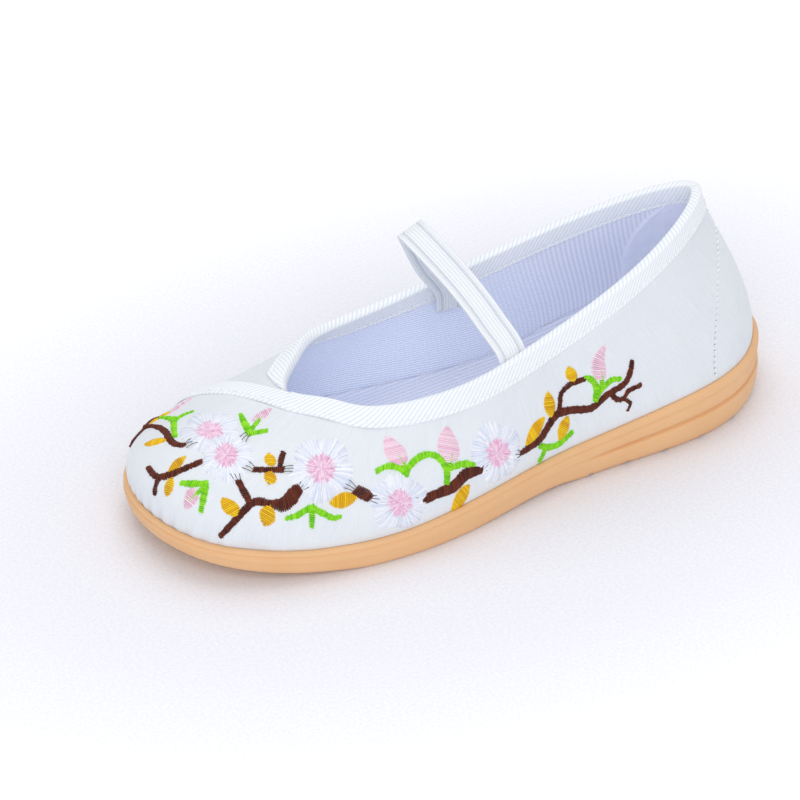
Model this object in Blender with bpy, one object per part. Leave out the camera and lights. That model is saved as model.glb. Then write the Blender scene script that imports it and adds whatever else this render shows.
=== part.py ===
"""Left cloth shoe: a hollow cross-over upper on a moulded wedge sole, with an elastic instep strap.

X runs across the foot with the lateral side at +X, Y runs along it with the toe at -Y, and Z is up from the floor.
Sizes are in millimetres, and each mesh is turned into metres as it is made.
"""
import math

import bmesh
import bpy
import numpy as np

for leftover in list(bpy.data.objects):
    bpy.data.objects.remove(leftover, do_unlink=True)

# Driving dimensions, in millimetres
METRE = 0.001
LENGTH = 240.0           # outsole from toe to heel
BALL_WIDTH = 89.0        # outsole across the ball of the foot
HEEL_HEIGHT = 79.0       # floor to the top of the collar at the heel
CLOTH = 2.0              # satin, stiffening and lining together
GAP = 0.3                # between pieces that touch
CUP_DEPTH = 3.0          # rim of the sole above its footbed
INSOLE = 3.0             # thickness of the insole
TAPE = 0.8               # thickness of the folded twill tape
TAPE_OUTSIDE = 7.0       # tape on the outer face of the upper
TAPE_INSIDE = 7.4        # tape on the lining
TAPE_LIFT = 0.4          # tape off the cloth on the collar and, over the other panel, on the vamp
LAP_LIFT = 0.45
LAP_STEP = 0.7           # lateral panel above the medial panel where they lap
STRAP_WIDTH = 10.5
STRAP_THICKNESS = 1.3
STRAP_TAIL = 12.0        # sewn length of the strap below each collar edge
GROOVE_WIDTH = 5.0       # gaps between the heel lugs
GROOVE_DEPTH = 1.6
CENTRE_LINE = 2.1        # middle of the outsole's width, from the last's own axis

# The last, station by station round the foot. foot is the feather line, where cloth meets sole, and edge is the
# collar. x counts ball widths, y lengths and z heel heights. lean and rise give the wall's outward tilt in degrees
# and its hold in millimetres at the foot, drop and reach the same at the collar.
LAST_COLUMNS = ("foot_x", "foot_y", "edge_x", "edge_y", "edge_z", "lean", "rise", "drop", "reach")
LAST = {
    "heel_back":     (0.006, 0.4925, -0.006, 0.410, 0.985, 4, 20, 86, 8.5),
    "heel_lateral":  (0.288, 0.4340, 0.184, 0.332, 0.948, 3, 16, 88, 13),
    "waist_lateral": (0.409, 0.1360, 0.332, 0.080, 0.713, 5, 12, 80, 12),
    "ball_lateral":  (0.517, -0.1480, 0.325, -0.097, 0.598, 10, 12, 65, 12),
    "little_toe":    (0.489, -0.2790, 0.242, -0.178, 0.571, 12, 13, 40, 14),
    "toe_lateral":   (0.300, -0.4440, 0.115, -0.235, 0.590, 21, 18, 27, 18),
    "toe_tip":       (-0.031, -0.4925, -0.033, -0.268, 0.580, 23, 23, 21, 22),
    "toe_medial":    (-0.334, -0.4520, -0.158, -0.229, 0.616, 22, 19, 27, 18),
    "big_toe":       (-0.463, -0.3230, -0.266, -0.182, 0.620, 12, 13, 40, 14),
    "ball_medial":   (-0.444, -0.1580, -0.322, -0.104, 0.606, 10, 12, 65, 12),
    "waist_medial":  (-0.315, 0.1140, -0.314, 0.077, 0.690, 5, 12, 84, 12),
    "heel_medial":   (-0.298, 0.3980, -0.178, 0.340, 0.912, 4, 16, 88, 13),
}
LAST_SCALE = (BALL_WIDTH, LENGTH, BALL_WIDTH, LENGTH, HEEL_HEIGHT, math.pi / 180, 1, math.pi / 180, 1)

# The sole from heel to toe: place along the length, and heights of its rim and its underside in millimetres
SOLE_COLUMNS = ("along", "rim", "floor")
SOLE = {
    "heel_end":   (0.500, 22.5, 1.4),
    "heel_edge":  (0.450, 22.0, 0.0),
    "heel_seat":  (0.333, 20.9, 0.0),
    "heel_front": (0.140, 15.4, 0.0),
    "waist":      (0.070, 14.4, 1.6),
    "ball_back":  (-0.090, 12.1, 0.0),
    "ball_front": (-0.230, 10.3, 0.0),
    "toe_break":  (-0.310, 11.1, 1.8),
    "toe_spring": (-0.400, 13.6, 5.0),
    "toe_end":    (-0.500, 16.2, 9.4),
}

# Side of the sole from the rim down: share of its height, and how far it stands out from the feather line at the
# heel, where a groove parts two bands, and at the forefoot, where one plain band lies under the lip
SIDE_COLUMNS = ("share", "heel_out", "fore_out")
SIDE = {
    "lip_top":     (0.985, 1.4, 1.4),
    "lip_edge":    (0.930, 2.2, 2.1),
    "lip_belly":   (0.870, 2.3, 2.2),
    "lip_foot":    (0.810, 1.8, 1.8),
    "upper_band":  (0.740, 2.1, 2.2),
    "band_foot":   (0.580, 1.8, 2.3),
    "groove":      (0.525, 0.8, 2.2),
    "ledge":       (0.500, 2.1, 2.1),
    "lower_band":  (0.440, 2.5, 2.0),
    "lower_belly": (0.250, 2.2, 1.8),
    "tread_curve": (0.080, 1.0, 1.3),
    "tread_edge":  (0.000, -0.8, 0.0),
}
BANDS_START = 0.09       # where the heel's two bands begin and are whole, in lengths
BANDS_WHOLE = 0.20
LUG_GROOVES = (0.140, 0.203, 0.267, 0.332, 0.397)

# The lateral tape leaves the collar at the throat and crosses the vamp to the medial side of the sole
LAP_FOOT_TURN = 0.605    # where it meets the sole, as a share of the way round the foot
LAP_FOOT = 0.03          # height on the wall where the tape stops, just clear of the rim
LAP_BLEND = 3.0          # width of the step down to the medial panel
LAP_FADE = 40.0          # and the width over which that panel comes up to the last again
LAP_COLLAR = 0.25        # share of the wall below the collar over which the step comes in
LAP_CROWDING = 1.7       # sections of the vamp's tape crowd towards the throat by this power
FOLD_SIDE = 0.55         # corners of the tape's fold, by shares of its thickness out and up
FOLD_RISE = 0.75
FULL_OVERHANG = 15.0     # overhang of the wall past which it falls straight away from the collar

# Free span of the strap between its sewn tails, from the medial side: places in millimetres
STRAP_SPAN = {
    "medial_rise":  (-24.6, 3.4, 63.5),
    "fold_back":    (-22.2, -4.5, 80.2),
    "fold_front":   (-17.2, -5.5, 81.8),
    "lateral_fall": (2.0, 1.5, 70.5),
    "lateral_edge": (15.5, 5.5, 61.0),
}
STRAP_TILT = 0.42        # rise of the strap's rear edge over its front edge, for each unit of its width
STRAP_LATERAL_Y = 8.0
STRAP_MEDIAL_Y = 13.0
LATERAL_SEWN = (1.0, 0.5, 0.0)   # places on each tail, by shares of its length below the collar
MEDIAL_SEWN = (1.0, 0.6)

# Mesh fineness
SIDE_STATIONS = 44       # sections along each side of the foot
WALL_ROWS = 11           # rows up the wall of the upper
CROSS_SPANS = 4          # faces across the sole and the insole
LAP_SECTIONS = 16        # sections of tape over the vamp
STRAP_SECTIONS = 34


def columns(table, names):
    """The table's columns by name, as arrays."""
    values = np.array(list(table.values()), float)
    return {name: values[:, index] for index, name in enumerate(names)}


def closed_spline(knots, values):
    """Cubic spline through rows of values that repeats after one turn of the parameter."""
    count = len(knots)
    steps = np.diff(np.append(knots, knots[0] + 1.0))
    system = np.zeros((count, count))
    slopes = np.zeros_like(values)
    for row in range(count):
        before, after = steps[row - 1], steps[row]
        system[row, row - 1] += before
        system[row, row] += 2 * (before + after)
        system[row, (row + 1) % count] += after
        rising = (values[(row + 1) % count] - values[row]) / after
        risen = (values[row] - values[row - 1]) / before
        slopes[row] = 6 * (rising - risen)
    bends = np.linalg.solve(system, slopes)

    def evaluate(turn):
        turn = np.asarray(turn, float) % 1.0
        first = np.clip(np.searchsorted(knots, turn, side="right") - 1, 0, count - 1)
        second = (first + 1) % count
        step = steps[first][..., None]
        ahead = (turn - knots[first])[..., None]
        left = step - ahead
        return (bends[first] * left ** 3 / (6 * step) + bends[second] * ahead ** 3 / (6 * step)
                + (values[first] / step - bends[first] * step / 6) * left
                + (values[second] / step - bends[second] * step / 6) * ahead)

    return evaluate


def steady_curve(places, values):
    """Smooth curve through a table's column that never overshoots, so flat stretches stay flat."""
    order = np.argsort(places)
    places, values = places[order], values[order]
    rates = np.diff(values) / np.diff(places)
    tangents = np.zeros_like(values)
    same = rates[1:] * rates[:-1] > 0
    tangents[1:-1][same] = 2 * rates[1:][same] * rates[:-1][same] / (rates[1:] + rates[:-1])[same]
    tangents[0], tangents[-1] = rates[0], rates[-1]

    def evaluate(place):
        place = np.clip(np.asarray(place, float), places[0], places[-1])
        span = np.clip(np.searchsorted(places, place, side="right") - 1, 0, len(places) - 2)
        width = places[span + 1] - places[span]
        share = (place - places[span]) / width
        rest = 1 - share
        return (values[span] * rest ** 2 * (1 + 2 * share) + values[span + 1] * share ** 2 * (1 + 2 * rest)
                + width * share * rest * (tangents[span] * rest - tangents[span + 1] * share))

    return evaluate


def ease(value):
    """Smooth step from 0 to 1."""
    value = np.clip(value, 0, 1)
    return value * value * (3 - 2 * value)


def unit(vectors):
    """Vectors made one long."""
    return vectors / np.linalg.norm(vectors, axis=-1, keepdims=True)


LAST_ROWS = np.array(list(LAST.values())) * np.array(LAST_SCALE)
FOOT_STEPS = np.linalg.norm(np.roll(LAST_ROWS[:, :2], -1, axis=0) - LAST_ROWS[:, :2], axis=1)
TURNS = np.append(0.0, np.cumsum(FOOT_STEPS)[:-1]) / FOOT_STEPS.sum()
last_at = closed_spline(TURNS, LAST_ROWS)
turn_of = dict(zip(LAST, TURNS))


def side_turns():
    """Turns of the columns: heel, lateral side, toe, medial side, so that both sides pair at each section."""
    fine = np.linspace(0, 1, 4001)
    along = last_at(fine)[:, 1]
    toe = int(np.argmin(along))
    shifted = np.concatenate([fine[2000:-1] - 1, fine[:2000]])
    heel_turn = float(shifted[np.argmax(last_at(shifted)[:, 1])])
    angles = np.linspace(0, math.pi, SIDE_STATIONS + 1)[1:-1]
    high, low = float(along.max()), float(along.min())
    # Sections crowd towards heel and toe, where the outline turns
    places = (high + low) / 2 + (high - low) / 2 * np.cos(angles)
    lateral = np.linspace(heel_turn, fine[toe], 3000)
    medial = np.linspace(heel_turn + 1, fine[toe], 3000)
    lateral_turns = np.interp(-places, -last_at(lateral)[:, 1], lateral)
    medial_turns = np.interp(-places, -last_at(medial)[:, 1], medial)
    return np.concatenate([[heel_turn], lateral_turns, [fine[toe]], medial_turns[::-1]])


COLUMN_TURNS = side_turns()
LAP_COLUMN = SIDE_STATIONS - 2
LAP_TURN = COLUMN_TURNS[LAP_COLUMN]

sole_table = columns(SOLE, SOLE_COLUMNS)
rim_height = steady_curve(sole_table["along"] * LENGTH, sole_table["rim"])
floor_height = steady_curve(sole_table["along"] * LENGTH, sole_table["floor"])


def feather(turn):
    """Feather line at the rim's height, and its outward direction in plan."""
    tiny = 1e-4
    row = last_at(turn)
    plan = row[..., :2]
    along = last_at(np.asarray(turn) + tiny)[..., :2] - last_at(np.asarray(turn) - tiny)[..., :2]
    out = unit(np.stack([-along[..., 1], along[..., 0], np.zeros(plan.shape[:-1])], axis=-1))
    point = np.concatenate([plan, rim_height(plan[..., 1])[..., None]], axis=-1)
    return point, out, row


def bare_wall(turn, height):
    """Outer face of the lasted cloth: height is 0 at the rim of the sole, 1 at the collar, and below 0 in the cup."""
    turn, height = np.broadcast_arrays(np.asarray(turn, float), np.asarray(height, float))
    foot, out, row = feather(turn)
    upward = np.array([0.0, 0.0, 1.0])
    lean, rise, drop, reach = (row[..., index, None] for index in (5, 6, 7, 8))
    edge = row[..., 2:5]
    inward = (foot - edge) * np.array([1.0, 1.0, 0.0])
    overhang = np.linalg.norm(inward, axis=-1, keepdims=True)
    sure = np.clip(overhang / FULL_OVERHANG, 0, 1)
    fall = unit(sure * inward / np.maximum(overhang, 1e-9) + (1 - sure) * out)
    low = foot + rise * (np.sin(lean) * out + np.cos(lean) * upward)
    high = edge + reach * (np.cos(drop) * fall - np.sin(drop) * upward)
    t = np.maximum(height, 0.0)[..., None]
    below = np.minimum(height, 0.0)[..., None]
    body = (1 - t) ** 3 * foot + 3 * t * (1 - t) ** 2 * low + 3 * t ** 2 * (1 - t) * high + t ** 3 * edge
    return body + 3 * below * (low - foot)


def lap_table():
    """Heights on the wall, and the turns where a straight cut from throat to medial sole crosses it."""
    heights = 1 - np.linspace(1, 0, 81) ** 2
    turns = np.linspace(LAP_TURN, LAP_FOOT_TURN, 400)
    throat = bare_wall(LAP_TURN, 1.0)
    cut = bare_wall(LAP_FOOT_TURN, 0.0) - throat
    points = bare_wall(turns[None, :], heights[:, None]) - throat
    ahead = points[..., 0] * cut[1] - points[..., 1] * cut[0]
    crossings = [np.interp(0.0, row * np.sign(row[-1] - row[0]), turns) for row in ahead]
    return heights, np.array(crossings)


LAP_HEIGHTS, LAP_TURNS = lap_table()


def lap_line(height):
    """Turn at which the lateral panel's edge crosses the vamp at a height on the wall."""
    return np.interp(height, LAP_HEIGHTS, LAP_TURNS)


def wall_frame(turn, height, face=bare_wall):
    """Point, outward normal, and the two directions along a face of the wall."""
    tiny = 1e-4
    turn, height = np.broadcast_arrays(np.asarray(turn, float), np.asarray(height, float))
    round_foot = (face(turn + tiny, height) - face(turn - tiny, height)) / (2 * tiny)
    up_wall = (face(turn, height + tiny) - face(turn, height - tiny)) / (2 * tiny)
    return face(turn, height), unit(np.cross(up_wall, round_foot)), round_foot, up_wall


def wall(turn, height):
    """Outer face of the upper: the medial panel lies lower beside the lateral panel's lapped edge."""
    point, normal, round_foot, _ = wall_frame(turn, height)
    past_edge = (np.asarray(turn) - lap_line(height)) * np.linalg.norm(round_foot, axis=-1)
    past_step = ease(past_edge / LAP_BLEND + 0.5) * (1 - ease(past_edge / LAP_FADE))
    under = past_step * ease((1 - np.asarray(height)) / LAP_COLLAR)
    return point - LAP_STEP * under[..., None] * normal


def slide(turn, height, direction, distance):
    """Walk along the wall from a point on it, in a direction in space, in four short steps."""
    for _ in range(4):
        _, _, round_foot, up_wall = wall_frame(turn, height)
        a = np.sum(round_foot * round_foot, axis=-1)
        b = np.sum(round_foot * up_wall, axis=-1)
        c = np.sum(up_wall * up_wall, axis=-1)
        p = np.sum(round_foot * direction, axis=-1)
        q = np.sum(up_wall * direction, axis=-1)
        turn = turn + (c * p - b * q) / (a * c - b * b) * distance / 4
        height = height + (a * q - b * p) / (a * c - b * b) * distance / 4
    return turn, height


def finish(colour, roughness, name):
    """Plain surface in an sRGB colour."""
    material = bpy.data.materials.new(name)
    material.use_nodes = True
    shader = material.node_tree.nodes["Principled BSDF"]
    linear = [((part / 255 + 0.055) / 1.055) ** 2.4 for part in colour]
    shader.inputs["Base Color"].default_value = (*linear, 1.0)
    shader.inputs["Roughness"].default_value = roughness
    shader.inputs["Metallic"].default_value = 0.0
    material.diffuse_color = (*linear, 1.0)
    return material


def make_solid(name, points, faces, material):
    """One closed, outward-facing object from points in millimetres."""
    mesh = bpy.data.meshes.new(name)
    places = (np.asarray(points, float) - np.array([CENTRE_LINE, 0, 0])) * METRE
    mesh.from_pydata(places.tolist(), [], [list(map(int, face)) for face in faces])
    shape = bmesh.new()
    shape.from_mesh(mesh)
    bmesh.ops.remove_doubles(shape, verts=shape.verts, dist=1e-7)
    bmesh.ops.recalc_face_normals(shape, faces=shape.faces)
    shape.to_mesh(mesh)
    shape.free()
    mesh.shade_smooth()
    mesh.set_sharp_from_angle(angle=math.radians(40))
    mesh.materials.append(material)
    piece = bpy.data.objects.new(name, mesh)
    bpy.context.scene.collection.objects.link(piece)
    return piece


def band_faces(rows, count, closed_rows=False, start=0):
    """Quads of a grid whose columns run in a closed ring; the rows may close too."""
    faces = []
    for row in range(rows if closed_rows else rows - 1):
        upper_row = start + row * count
        lower_row = start + (row + 1) % rows * count
        for column in range(count):
            beside = (column + 1) % count
            faces.append((upper_row + column, upper_row + beside, lower_row + beside, lower_row + column))
    return faces


def across_ring(points, ring, height_at):
    """Cover a ring of columns from the lateral to the medial side, adding points at a height along the foot."""
    count = len(ring)
    half = count // 2
    lines = [[ring[0]] * (CROSS_SPANS + 1)]
    for section in range(1, half):
        left, right = ring[section], ring[count - section]
        line = [left]
        for step in range(1, CROSS_SPANS):
            spot = points[left] + (points[right] - points[left]) * step / CROSS_SPANS
            points.append(np.array([spot[0], spot[1], height_at(spot[1])]))
            line.append(len(points) - 1)
        lines.append(line + [right])
    lines.append([ring[half]] * (CROSS_SPANS + 1))
    faces = []
    for before, after in zip(lines, lines[1:]):
        for step in range(CROSS_SPANS):
            corners = [before[step], before[step + 1], after[step + 1], after[step]]
            face = [corner for index, corner in enumerate(corners) if corner != corners[index - 1]]
            faces.append(face)
    return faces


def cup_foot():
    """Lowest edge of the upper in the sole's cup: height on the wall at each column."""
    _, _, row = feather(COLUMN_TURNS)
    return -(CUP_DEPTH - GAP) / (3 * row[:, 6] * np.cos(row[:, 5]))


def make_upper():
    """Hollow lasted shell: outer wall up to the collar, then down the lining side to the foot again."""
    shares = np.linspace(0, 1, WALL_ROWS) ** 0.9
    heights = [cup_foot()] + [np.full(len(COLUMN_TURNS), share) for share in shares]
    outside = []
    inside = []
    for height in heights:
        point, normal, _, _ = wall_frame(COLUMN_TURNS, height, wall)
        outside.append(point)
        inside.append(point - CLOTH * normal)
    rows = outside + inside[::-1]
    faces = band_faces(len(rows), len(COLUMN_TURNS), closed_rows=True)
    return make_solid("upper", np.concatenate(rows), faces, finish((232, 238, 244), 0.55, "satin_cloth"))


def make_outsole():
    """Moulded unit: a cup round the upper's foot, a banded wedge side, an arched underside and heel lugs."""
    foot, out, row = feather(COLUMN_TURNS)
    top = rim_height(foot[:, 1])
    bottom = floor_height(foot[:, 1])
    tilt = np.tan(row[:, 5])
    heel_share = ease((foot[:, 1] / LENGTH - BANDS_START) / (BANDS_WHOLE - BANDS_START))
    side = columns(SIDE, SIDE_COLUMNS)

    def ring(outwards, heights):
        plan = foot + out * np.asarray(outwards)[:, None]
        return np.column_stack([plan[:, :2], heights])

    rings = [ring(GAP - CUP_DEPTH * tilt, top - CUP_DEPTH), ring(np.full(len(top), GAP), top)]
    for share, heel_out, fore_out in zip(side["share"], side["heel_out"], side["fore_out"]):
        outwards = heel_out * heel_share + fore_out * (1 - heel_share)
        rings.append(ring(outwards, bottom + share * (top - bottom)))
    count = len(COLUMN_TURNS)
    points = list(np.concatenate(rings))
    faces = band_faces(len(rings), count)
    faces += across_ring(points, list(range(count)), lambda y: rim_height(y) - CUP_DEPTH)
    tread = list(range((len(rings) - 1) * count, len(rings) * count))
    for index in tread:
        points[index][2] = floor_height(points[index][1])
    faces += across_ring(points, tread, floor_height)
    sole = make_solid("outsole", points, faces, finish((238, 186, 128), 0.5, "tan_rubber"))
    cut = sole.modifiers.new("lug_grooves", "BOOLEAN")
    cut.operation = "DIFFERENCE"
    cut.object = make_lug_cutter()
    return sole


def make_lug_cutter():
    """Cross bars that cut the gaps between the heel lugs, narrower towards their roof."""
    corners = ((-0.9, -GROOVE_DEPTH), (0.9, -GROOVE_DEPTH), (0.35, GROOVE_DEPTH), (-0.35, GROOVE_DEPTH))
    points = []
    faces = []
    for place in LUG_GROOVES:
        start = len(points)
        for side in (-BALL_WIDTH, BALL_WIDTH):
            for across, height in corners:
                points.append((side, place * LENGTH + across * GROOVE_WIDTH / 2, height))
        faces.append([start + index for index in (0, 1, 2, 3)])
        faces.append([start + index for index in (7, 6, 5, 4)])
        for index in range(4):
            beside = (index + 1) % 4
            faces.append([start + index, start + index + 4, start + beside + 4, start + beside])
    cutter = make_solid("lug_cutter", points, faces, finish((200, 150, 100), 0.5, "cutter"))
    cutter.hide_render = True
    cutter.display_type = "WIRE"
    return cutter


def make_insole():
    """Footbed board that fills the upper's foot."""
    point, normal, _, _ = wall_frame(COLUMN_TURNS, cup_foot(), wall)
    _, out, _ = feather(COLUMN_TURNS)
    edge = point - (CLOTH + 2 * GAP) * out
    base = rim_height(edge[:, 1]) - CUP_DEPTH + GAP
    low = np.column_stack([edge[:, :2], base])
    high = low + np.array([0, 0, INSOLE])
    count = len(COLUMN_TURNS)
    points = list(np.concatenate([low, high]))
    faces = band_faces(2, count)
    faces += across_ring(points, list(range(count)), lambda y: rim_height(y) - CUP_DEPTH + GAP)
    faces += across_ring(points, list(range(count, 2 * count)), lambda y: rim_height(y) - CUP_DEPTH + GAP + INSOLE)
    return make_solid("insole", points, faces, finish((205, 212, 236), 0.8, "insole_board"))


def tape_section(turn, outside):
    """Outline of tape folded over the collar at one turn: outer leg, fold, lining leg, and back along the wall."""
    point, normal, round_foot, up_wall = wall_frame(turn, 1.0, wall)
    down = -unit(up_wall - np.sum(up_wall * unit(round_foot)) * unit(round_foot))

    def leg(distance, offset):
        at_turn, at_height = slide(np.float64(turn), np.float64(1.0), down, distance)
        spot, outward, _, _ = wall_frame(at_turn, at_height, wall)
        return spot + offset * outward

    near, far = TAPE_LIFT, TAPE_LIFT + TAPE
    lining_near, lining_far = -CLOTH - near, -CLOTH - far
    outer = [leg(outside, far), leg(outside / 2, far), point + far * normal]
    fold = [point + FOLD_SIDE * far * normal - FOLD_RISE * far * down,
            point - CLOTH / 2 * normal - far * down,
            point - (CLOTH + FOLD_SIDE * far) * normal - FOLD_RISE * far * down]
    lining = [point + lining_far * normal, leg(TAPE_INSIDE / 2, lining_far), leg(TAPE_INSIDE, lining_far)]
    back = [leg(TAPE_INSIDE, lining_near), leg(TAPE_INSIDE / 2, lining_near), point + lining_near * normal,
            point - CLOTH / 2 * normal - near * down, point + near * normal,
            leg(outside / 2, near), leg(outside, near)]
    return outer + fold + lining + back


OUTER_LEG = (0, 1, 2, 13, 14, 15)     # the outer leg's corners in a folded section
FOLD_AND_LINING = tuple(range(2, 14))


def lap_section(height):
    """Flat tape on the vamp at one height of its crossing, in the order of an outer leg."""
    tiny = 1e-3
    turn = lap_line(height)
    point, normal, _, _ = wall_frame(turn, height)
    along = wall_frame(lap_line(height - tiny), height - tiny)[0] - point
    sideways = unit(np.cross(along, normal))
    toe_wards = sideways if sideways[1] < 0 else -sideways
    near, far = LAP_LIFT, LAP_LIFT + TAPE
    top, bottom = [], []
    for share in (1.0, 0.5, 0.0):
        at_turn, at_height = slide(np.float64(turn), np.float64(height), toe_wards, share * TAPE_OUTSIDE)
        spot, outward, _, _ = wall_frame(at_turn, max(at_height, LAP_FOOT))
        top.append(spot + far * outward)
        bottom.append(spot + near * outward)
    return top + bottom[::-1]


def collar_turns(first, last_turn):
    """Turns of the collar's sections from one end of a tape to the other, on the upper's own columns."""
    inner = [turn for turn in sorted(COLUMN_TURNS % 1.0) if first + 1e-3 < turn < last_turn - 1e-3]
    return [first] + inner + [last_turn]


def loft(sections, corners):
    """Side faces between neighbouring sections, whose corners are given as places in each section."""
    faces = []
    for before, after in zip(sections, sections[1:]):
        for index, corner in enumerate(corners):
            beside = corners[(index + 1) % len(corners)]
            faces.append((before + corner, before + beside, after + beside, after + corner))
    return faces


TAPE_END = 0.0004        # half the gap between the two tapes, in turns


def make_binding_lateral():
    """Tape over the lateral collar that runs on across the vamp to the sole on the medial side."""
    points = []
    starts = []
    for turn in collar_turns(TAPE_END, LAP_TURN):
        starts.append(len(points))
        points += tape_section(turn, TAPE_OUTSIDE)
    whole = tuple(range(16))
    faces = loft(starts, whole)
    faces.append([starts[0] + corner for corner in whole])
    faces.append([starts[-1] + corner for corner in FOLD_AND_LINING])
    flat = tuple(range(6))
    lap_starts = []
    for share in np.linspace(0, 1, LAP_SECTIONS)[1:]:
        height = 1 - (1 - LAP_FOOT) * share ** LAP_CROWDING
        lap_starts.append(len(points))
        points += lap_section(height)
    for index in range(6):
        beside = (index + 1) % 6
        faces.append((starts[-1] + OUTER_LEG[index], starts[-1] + OUTER_LEG[beside],
                      lap_starts[0] + beside, lap_starts[0] + index))
    faces += loft(lap_starts, flat)
    faces.append([lap_starts[-1] + corner for corner in flat])
    return make_solid("binding_lateral", points, faces, finish((243, 246, 247), 0.7, "twill_tape"))


def make_binding_medial():
    """Tape over the medial collar, its outer leg trimmed where it runs under the lateral tape."""
    points = []
    starts = []
    first = next(turn for turn in COLUMN_TURNS[LAP_COLUMN:] if lap_clearance(turn) > TAPE / 2)
    for turn in collar_turns(first, 1 - TAPE_END):
        starts.append(len(points))
        points += tape_section(turn, min(lap_clearance(turn), TAPE_OUTSIDE))
    whole = tuple(range(16))
    faces = loft(starts, whole)
    faces.append([starts[0] + corner for corner in whole])
    faces.append([starts[-1] + corner for corner in whole])
    return make_solid("binding_medial", points, faces, finish((243, 246, 247), 0.7, "twill_tape_medial"))


def lap_clearance(turn):
    """Distance down the wall from the collar to the lapped edge, less a gap."""
    heights = np.linspace(1, 0, 240)
    line = wall_frame(lap_line(heights), heights)[0]
    start = wall_frame(turn, 1.0)[0]
    return np.linalg.norm(line - start, axis=1).min() - 2 * GAP


def make_strap():
    """Elastic band from the lining of one side to the other, with a fold near the medial side."""
    inset = CLOTH + TAPE + 3 * GAP + STRAP_THICKNESS / 2
    heelwards = np.array([0.0, 1.0, STRAP_TILT])

    def tail(turn, sewn):
        places = []
        for share in sewn:
            below = share * STRAP_TAIL
            at_turn, at_height = slide(np.float64(turn), np.float64(1.0), np.array([0, 0, -1.0]), below)
            spot, outward, round_foot, _ = wall_frame(at_turn, at_height)
            sideways = unit(round_foot) * np.sign(round_foot[1])
            places.append(np.concatenate([spot - inset * outward, sideways]))
        return places

    fine = np.linspace(0, 1, 2001)
    edge_y = last_at(fine)[:, 3]
    lateral_side = fine < turn_of["toe_tip"]
    lateral_turn = fine[lateral_side][np.argmin(abs(edge_y[lateral_side] - STRAP_LATERAL_Y))]
    medial_turn = fine[~lateral_side][np.argmin(abs(edge_y[~lateral_side] - STRAP_MEDIAL_Y))]
    span = [np.concatenate([place, heelwards]) for place in STRAP_SPAN.values()]
    route = np.array(tail(medial_turn, MEDIAL_SEWN) + span + tail(lateral_turn, LATERAL_SEWN)[::-1])
    steps = np.append(0, np.cumsum(np.linalg.norm(np.diff(route[:, :3], axis=0), axis=1)))
    samples = np.linspace(0, steps[-1], STRAP_SECTIONS)
    track = np.column_stack([steady_curve(steps, route[:, axis])(samples) for axis in range(6)])
    path = track[:, :3]
    along = unit(np.gradient(path, axis=0))
    across = unit(track[:, 3:] - along * np.sum(along * track[:, 3:], axis=1, keepdims=True))
    thick = np.cross(along, across)
    points = []
    for place, side, up in zip(path, across, thick):
        for half_width, half_thick in ((-1, -1), (1, -1), (1, 1), (-1, 1)):
            points.append(place + side * half_width * STRAP_WIDTH / 2 + up * half_thick * STRAP_THICKNESS / 2)
    starts = list(range(0, len(points), 4))
    faces = loft(starts, (0, 1, 2, 3))
    faces.append((0, 1, 2, 3))
    faces.append([starts[-1] + corner for corner in range(4)])
    return make_solid("strap", points, faces, finish((243, 246, 247), 0.75, "ribbed_elastic"))


make_outsole()
make_insole()
make_upper()
make_binding_lateral()
make_binding_medial()
make_strap()
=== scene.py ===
import math

import bmesh
import bpy
import numpy as np
from mathutils import Matrix, Vector
from mathutils.bvhtree import BVHTree


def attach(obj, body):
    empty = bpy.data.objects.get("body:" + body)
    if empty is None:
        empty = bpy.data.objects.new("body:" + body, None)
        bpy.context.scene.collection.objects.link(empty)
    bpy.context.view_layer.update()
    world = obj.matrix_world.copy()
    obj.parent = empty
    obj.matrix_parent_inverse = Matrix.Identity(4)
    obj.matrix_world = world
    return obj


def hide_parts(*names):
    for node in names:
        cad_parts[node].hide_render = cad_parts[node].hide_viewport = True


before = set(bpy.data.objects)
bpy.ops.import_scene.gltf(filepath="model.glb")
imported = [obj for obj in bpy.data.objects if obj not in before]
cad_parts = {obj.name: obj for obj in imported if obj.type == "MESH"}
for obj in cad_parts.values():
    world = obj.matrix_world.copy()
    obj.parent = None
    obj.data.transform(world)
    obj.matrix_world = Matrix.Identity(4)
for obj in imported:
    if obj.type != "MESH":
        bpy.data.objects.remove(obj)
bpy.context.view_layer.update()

# The view: the shoe's lateral side and toe, seen from well above the floor with a long lens.
# AIM is a point inside the shoe, and AIM_PIXEL is where it falls in the picture.
IMAGE_SIZE = 800
VIEW_TURN = math.radians(60.66)
VIEW_RISE = math.radians(34.23)
VIEW_DISTANCE = 1513.56
FOCAL_PIXELS = 4388.2
AIM = Vector((-2.1, 0.0, 30.0))
AIM_PIXEL = (452.94, 379.14)
METRE = 0.001            # the shoe is worked out in millimetres
SENSOR = 36.0

view_back = Vector((math.sin(VIEW_TURN) * math.cos(VIEW_RISE), -math.cos(VIEW_TURN) * math.cos(VIEW_RISE),
                    math.sin(VIEW_RISE)))
view_right = Vector((math.cos(VIEW_TURN), math.sin(VIEW_TURN), 0.0))
view_up = view_back.cross(view_right)
aside = (AIM_PIXEL[0] - IMAGE_SIZE / 2) / FOCAL_PIXELS * VIEW_DISTANCE
below = (AIM_PIXEL[1] - IMAGE_SIZE / 2) / FOCAL_PIXELS * VIEW_DISTANCE
eye = AIM + VIEW_DISTANCE * view_back - aside * view_right + below * view_up
camera = bpy.data.objects.new("camera", bpy.data.cameras.new("camera"))
camera.data.sensor_width = SENSOR
camera.data.lens = FOCAL_PIXELS / IMAGE_SIZE * SENSOR
camera.matrix_world = (Matrix.Translation(eye * METRE)
                       @ Matrix((view_right, view_up, view_back)).transposed().to_4x4())
bpy.context.scene.collection.objects.link(camera)
bpy.context.scene.camera = camera

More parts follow.
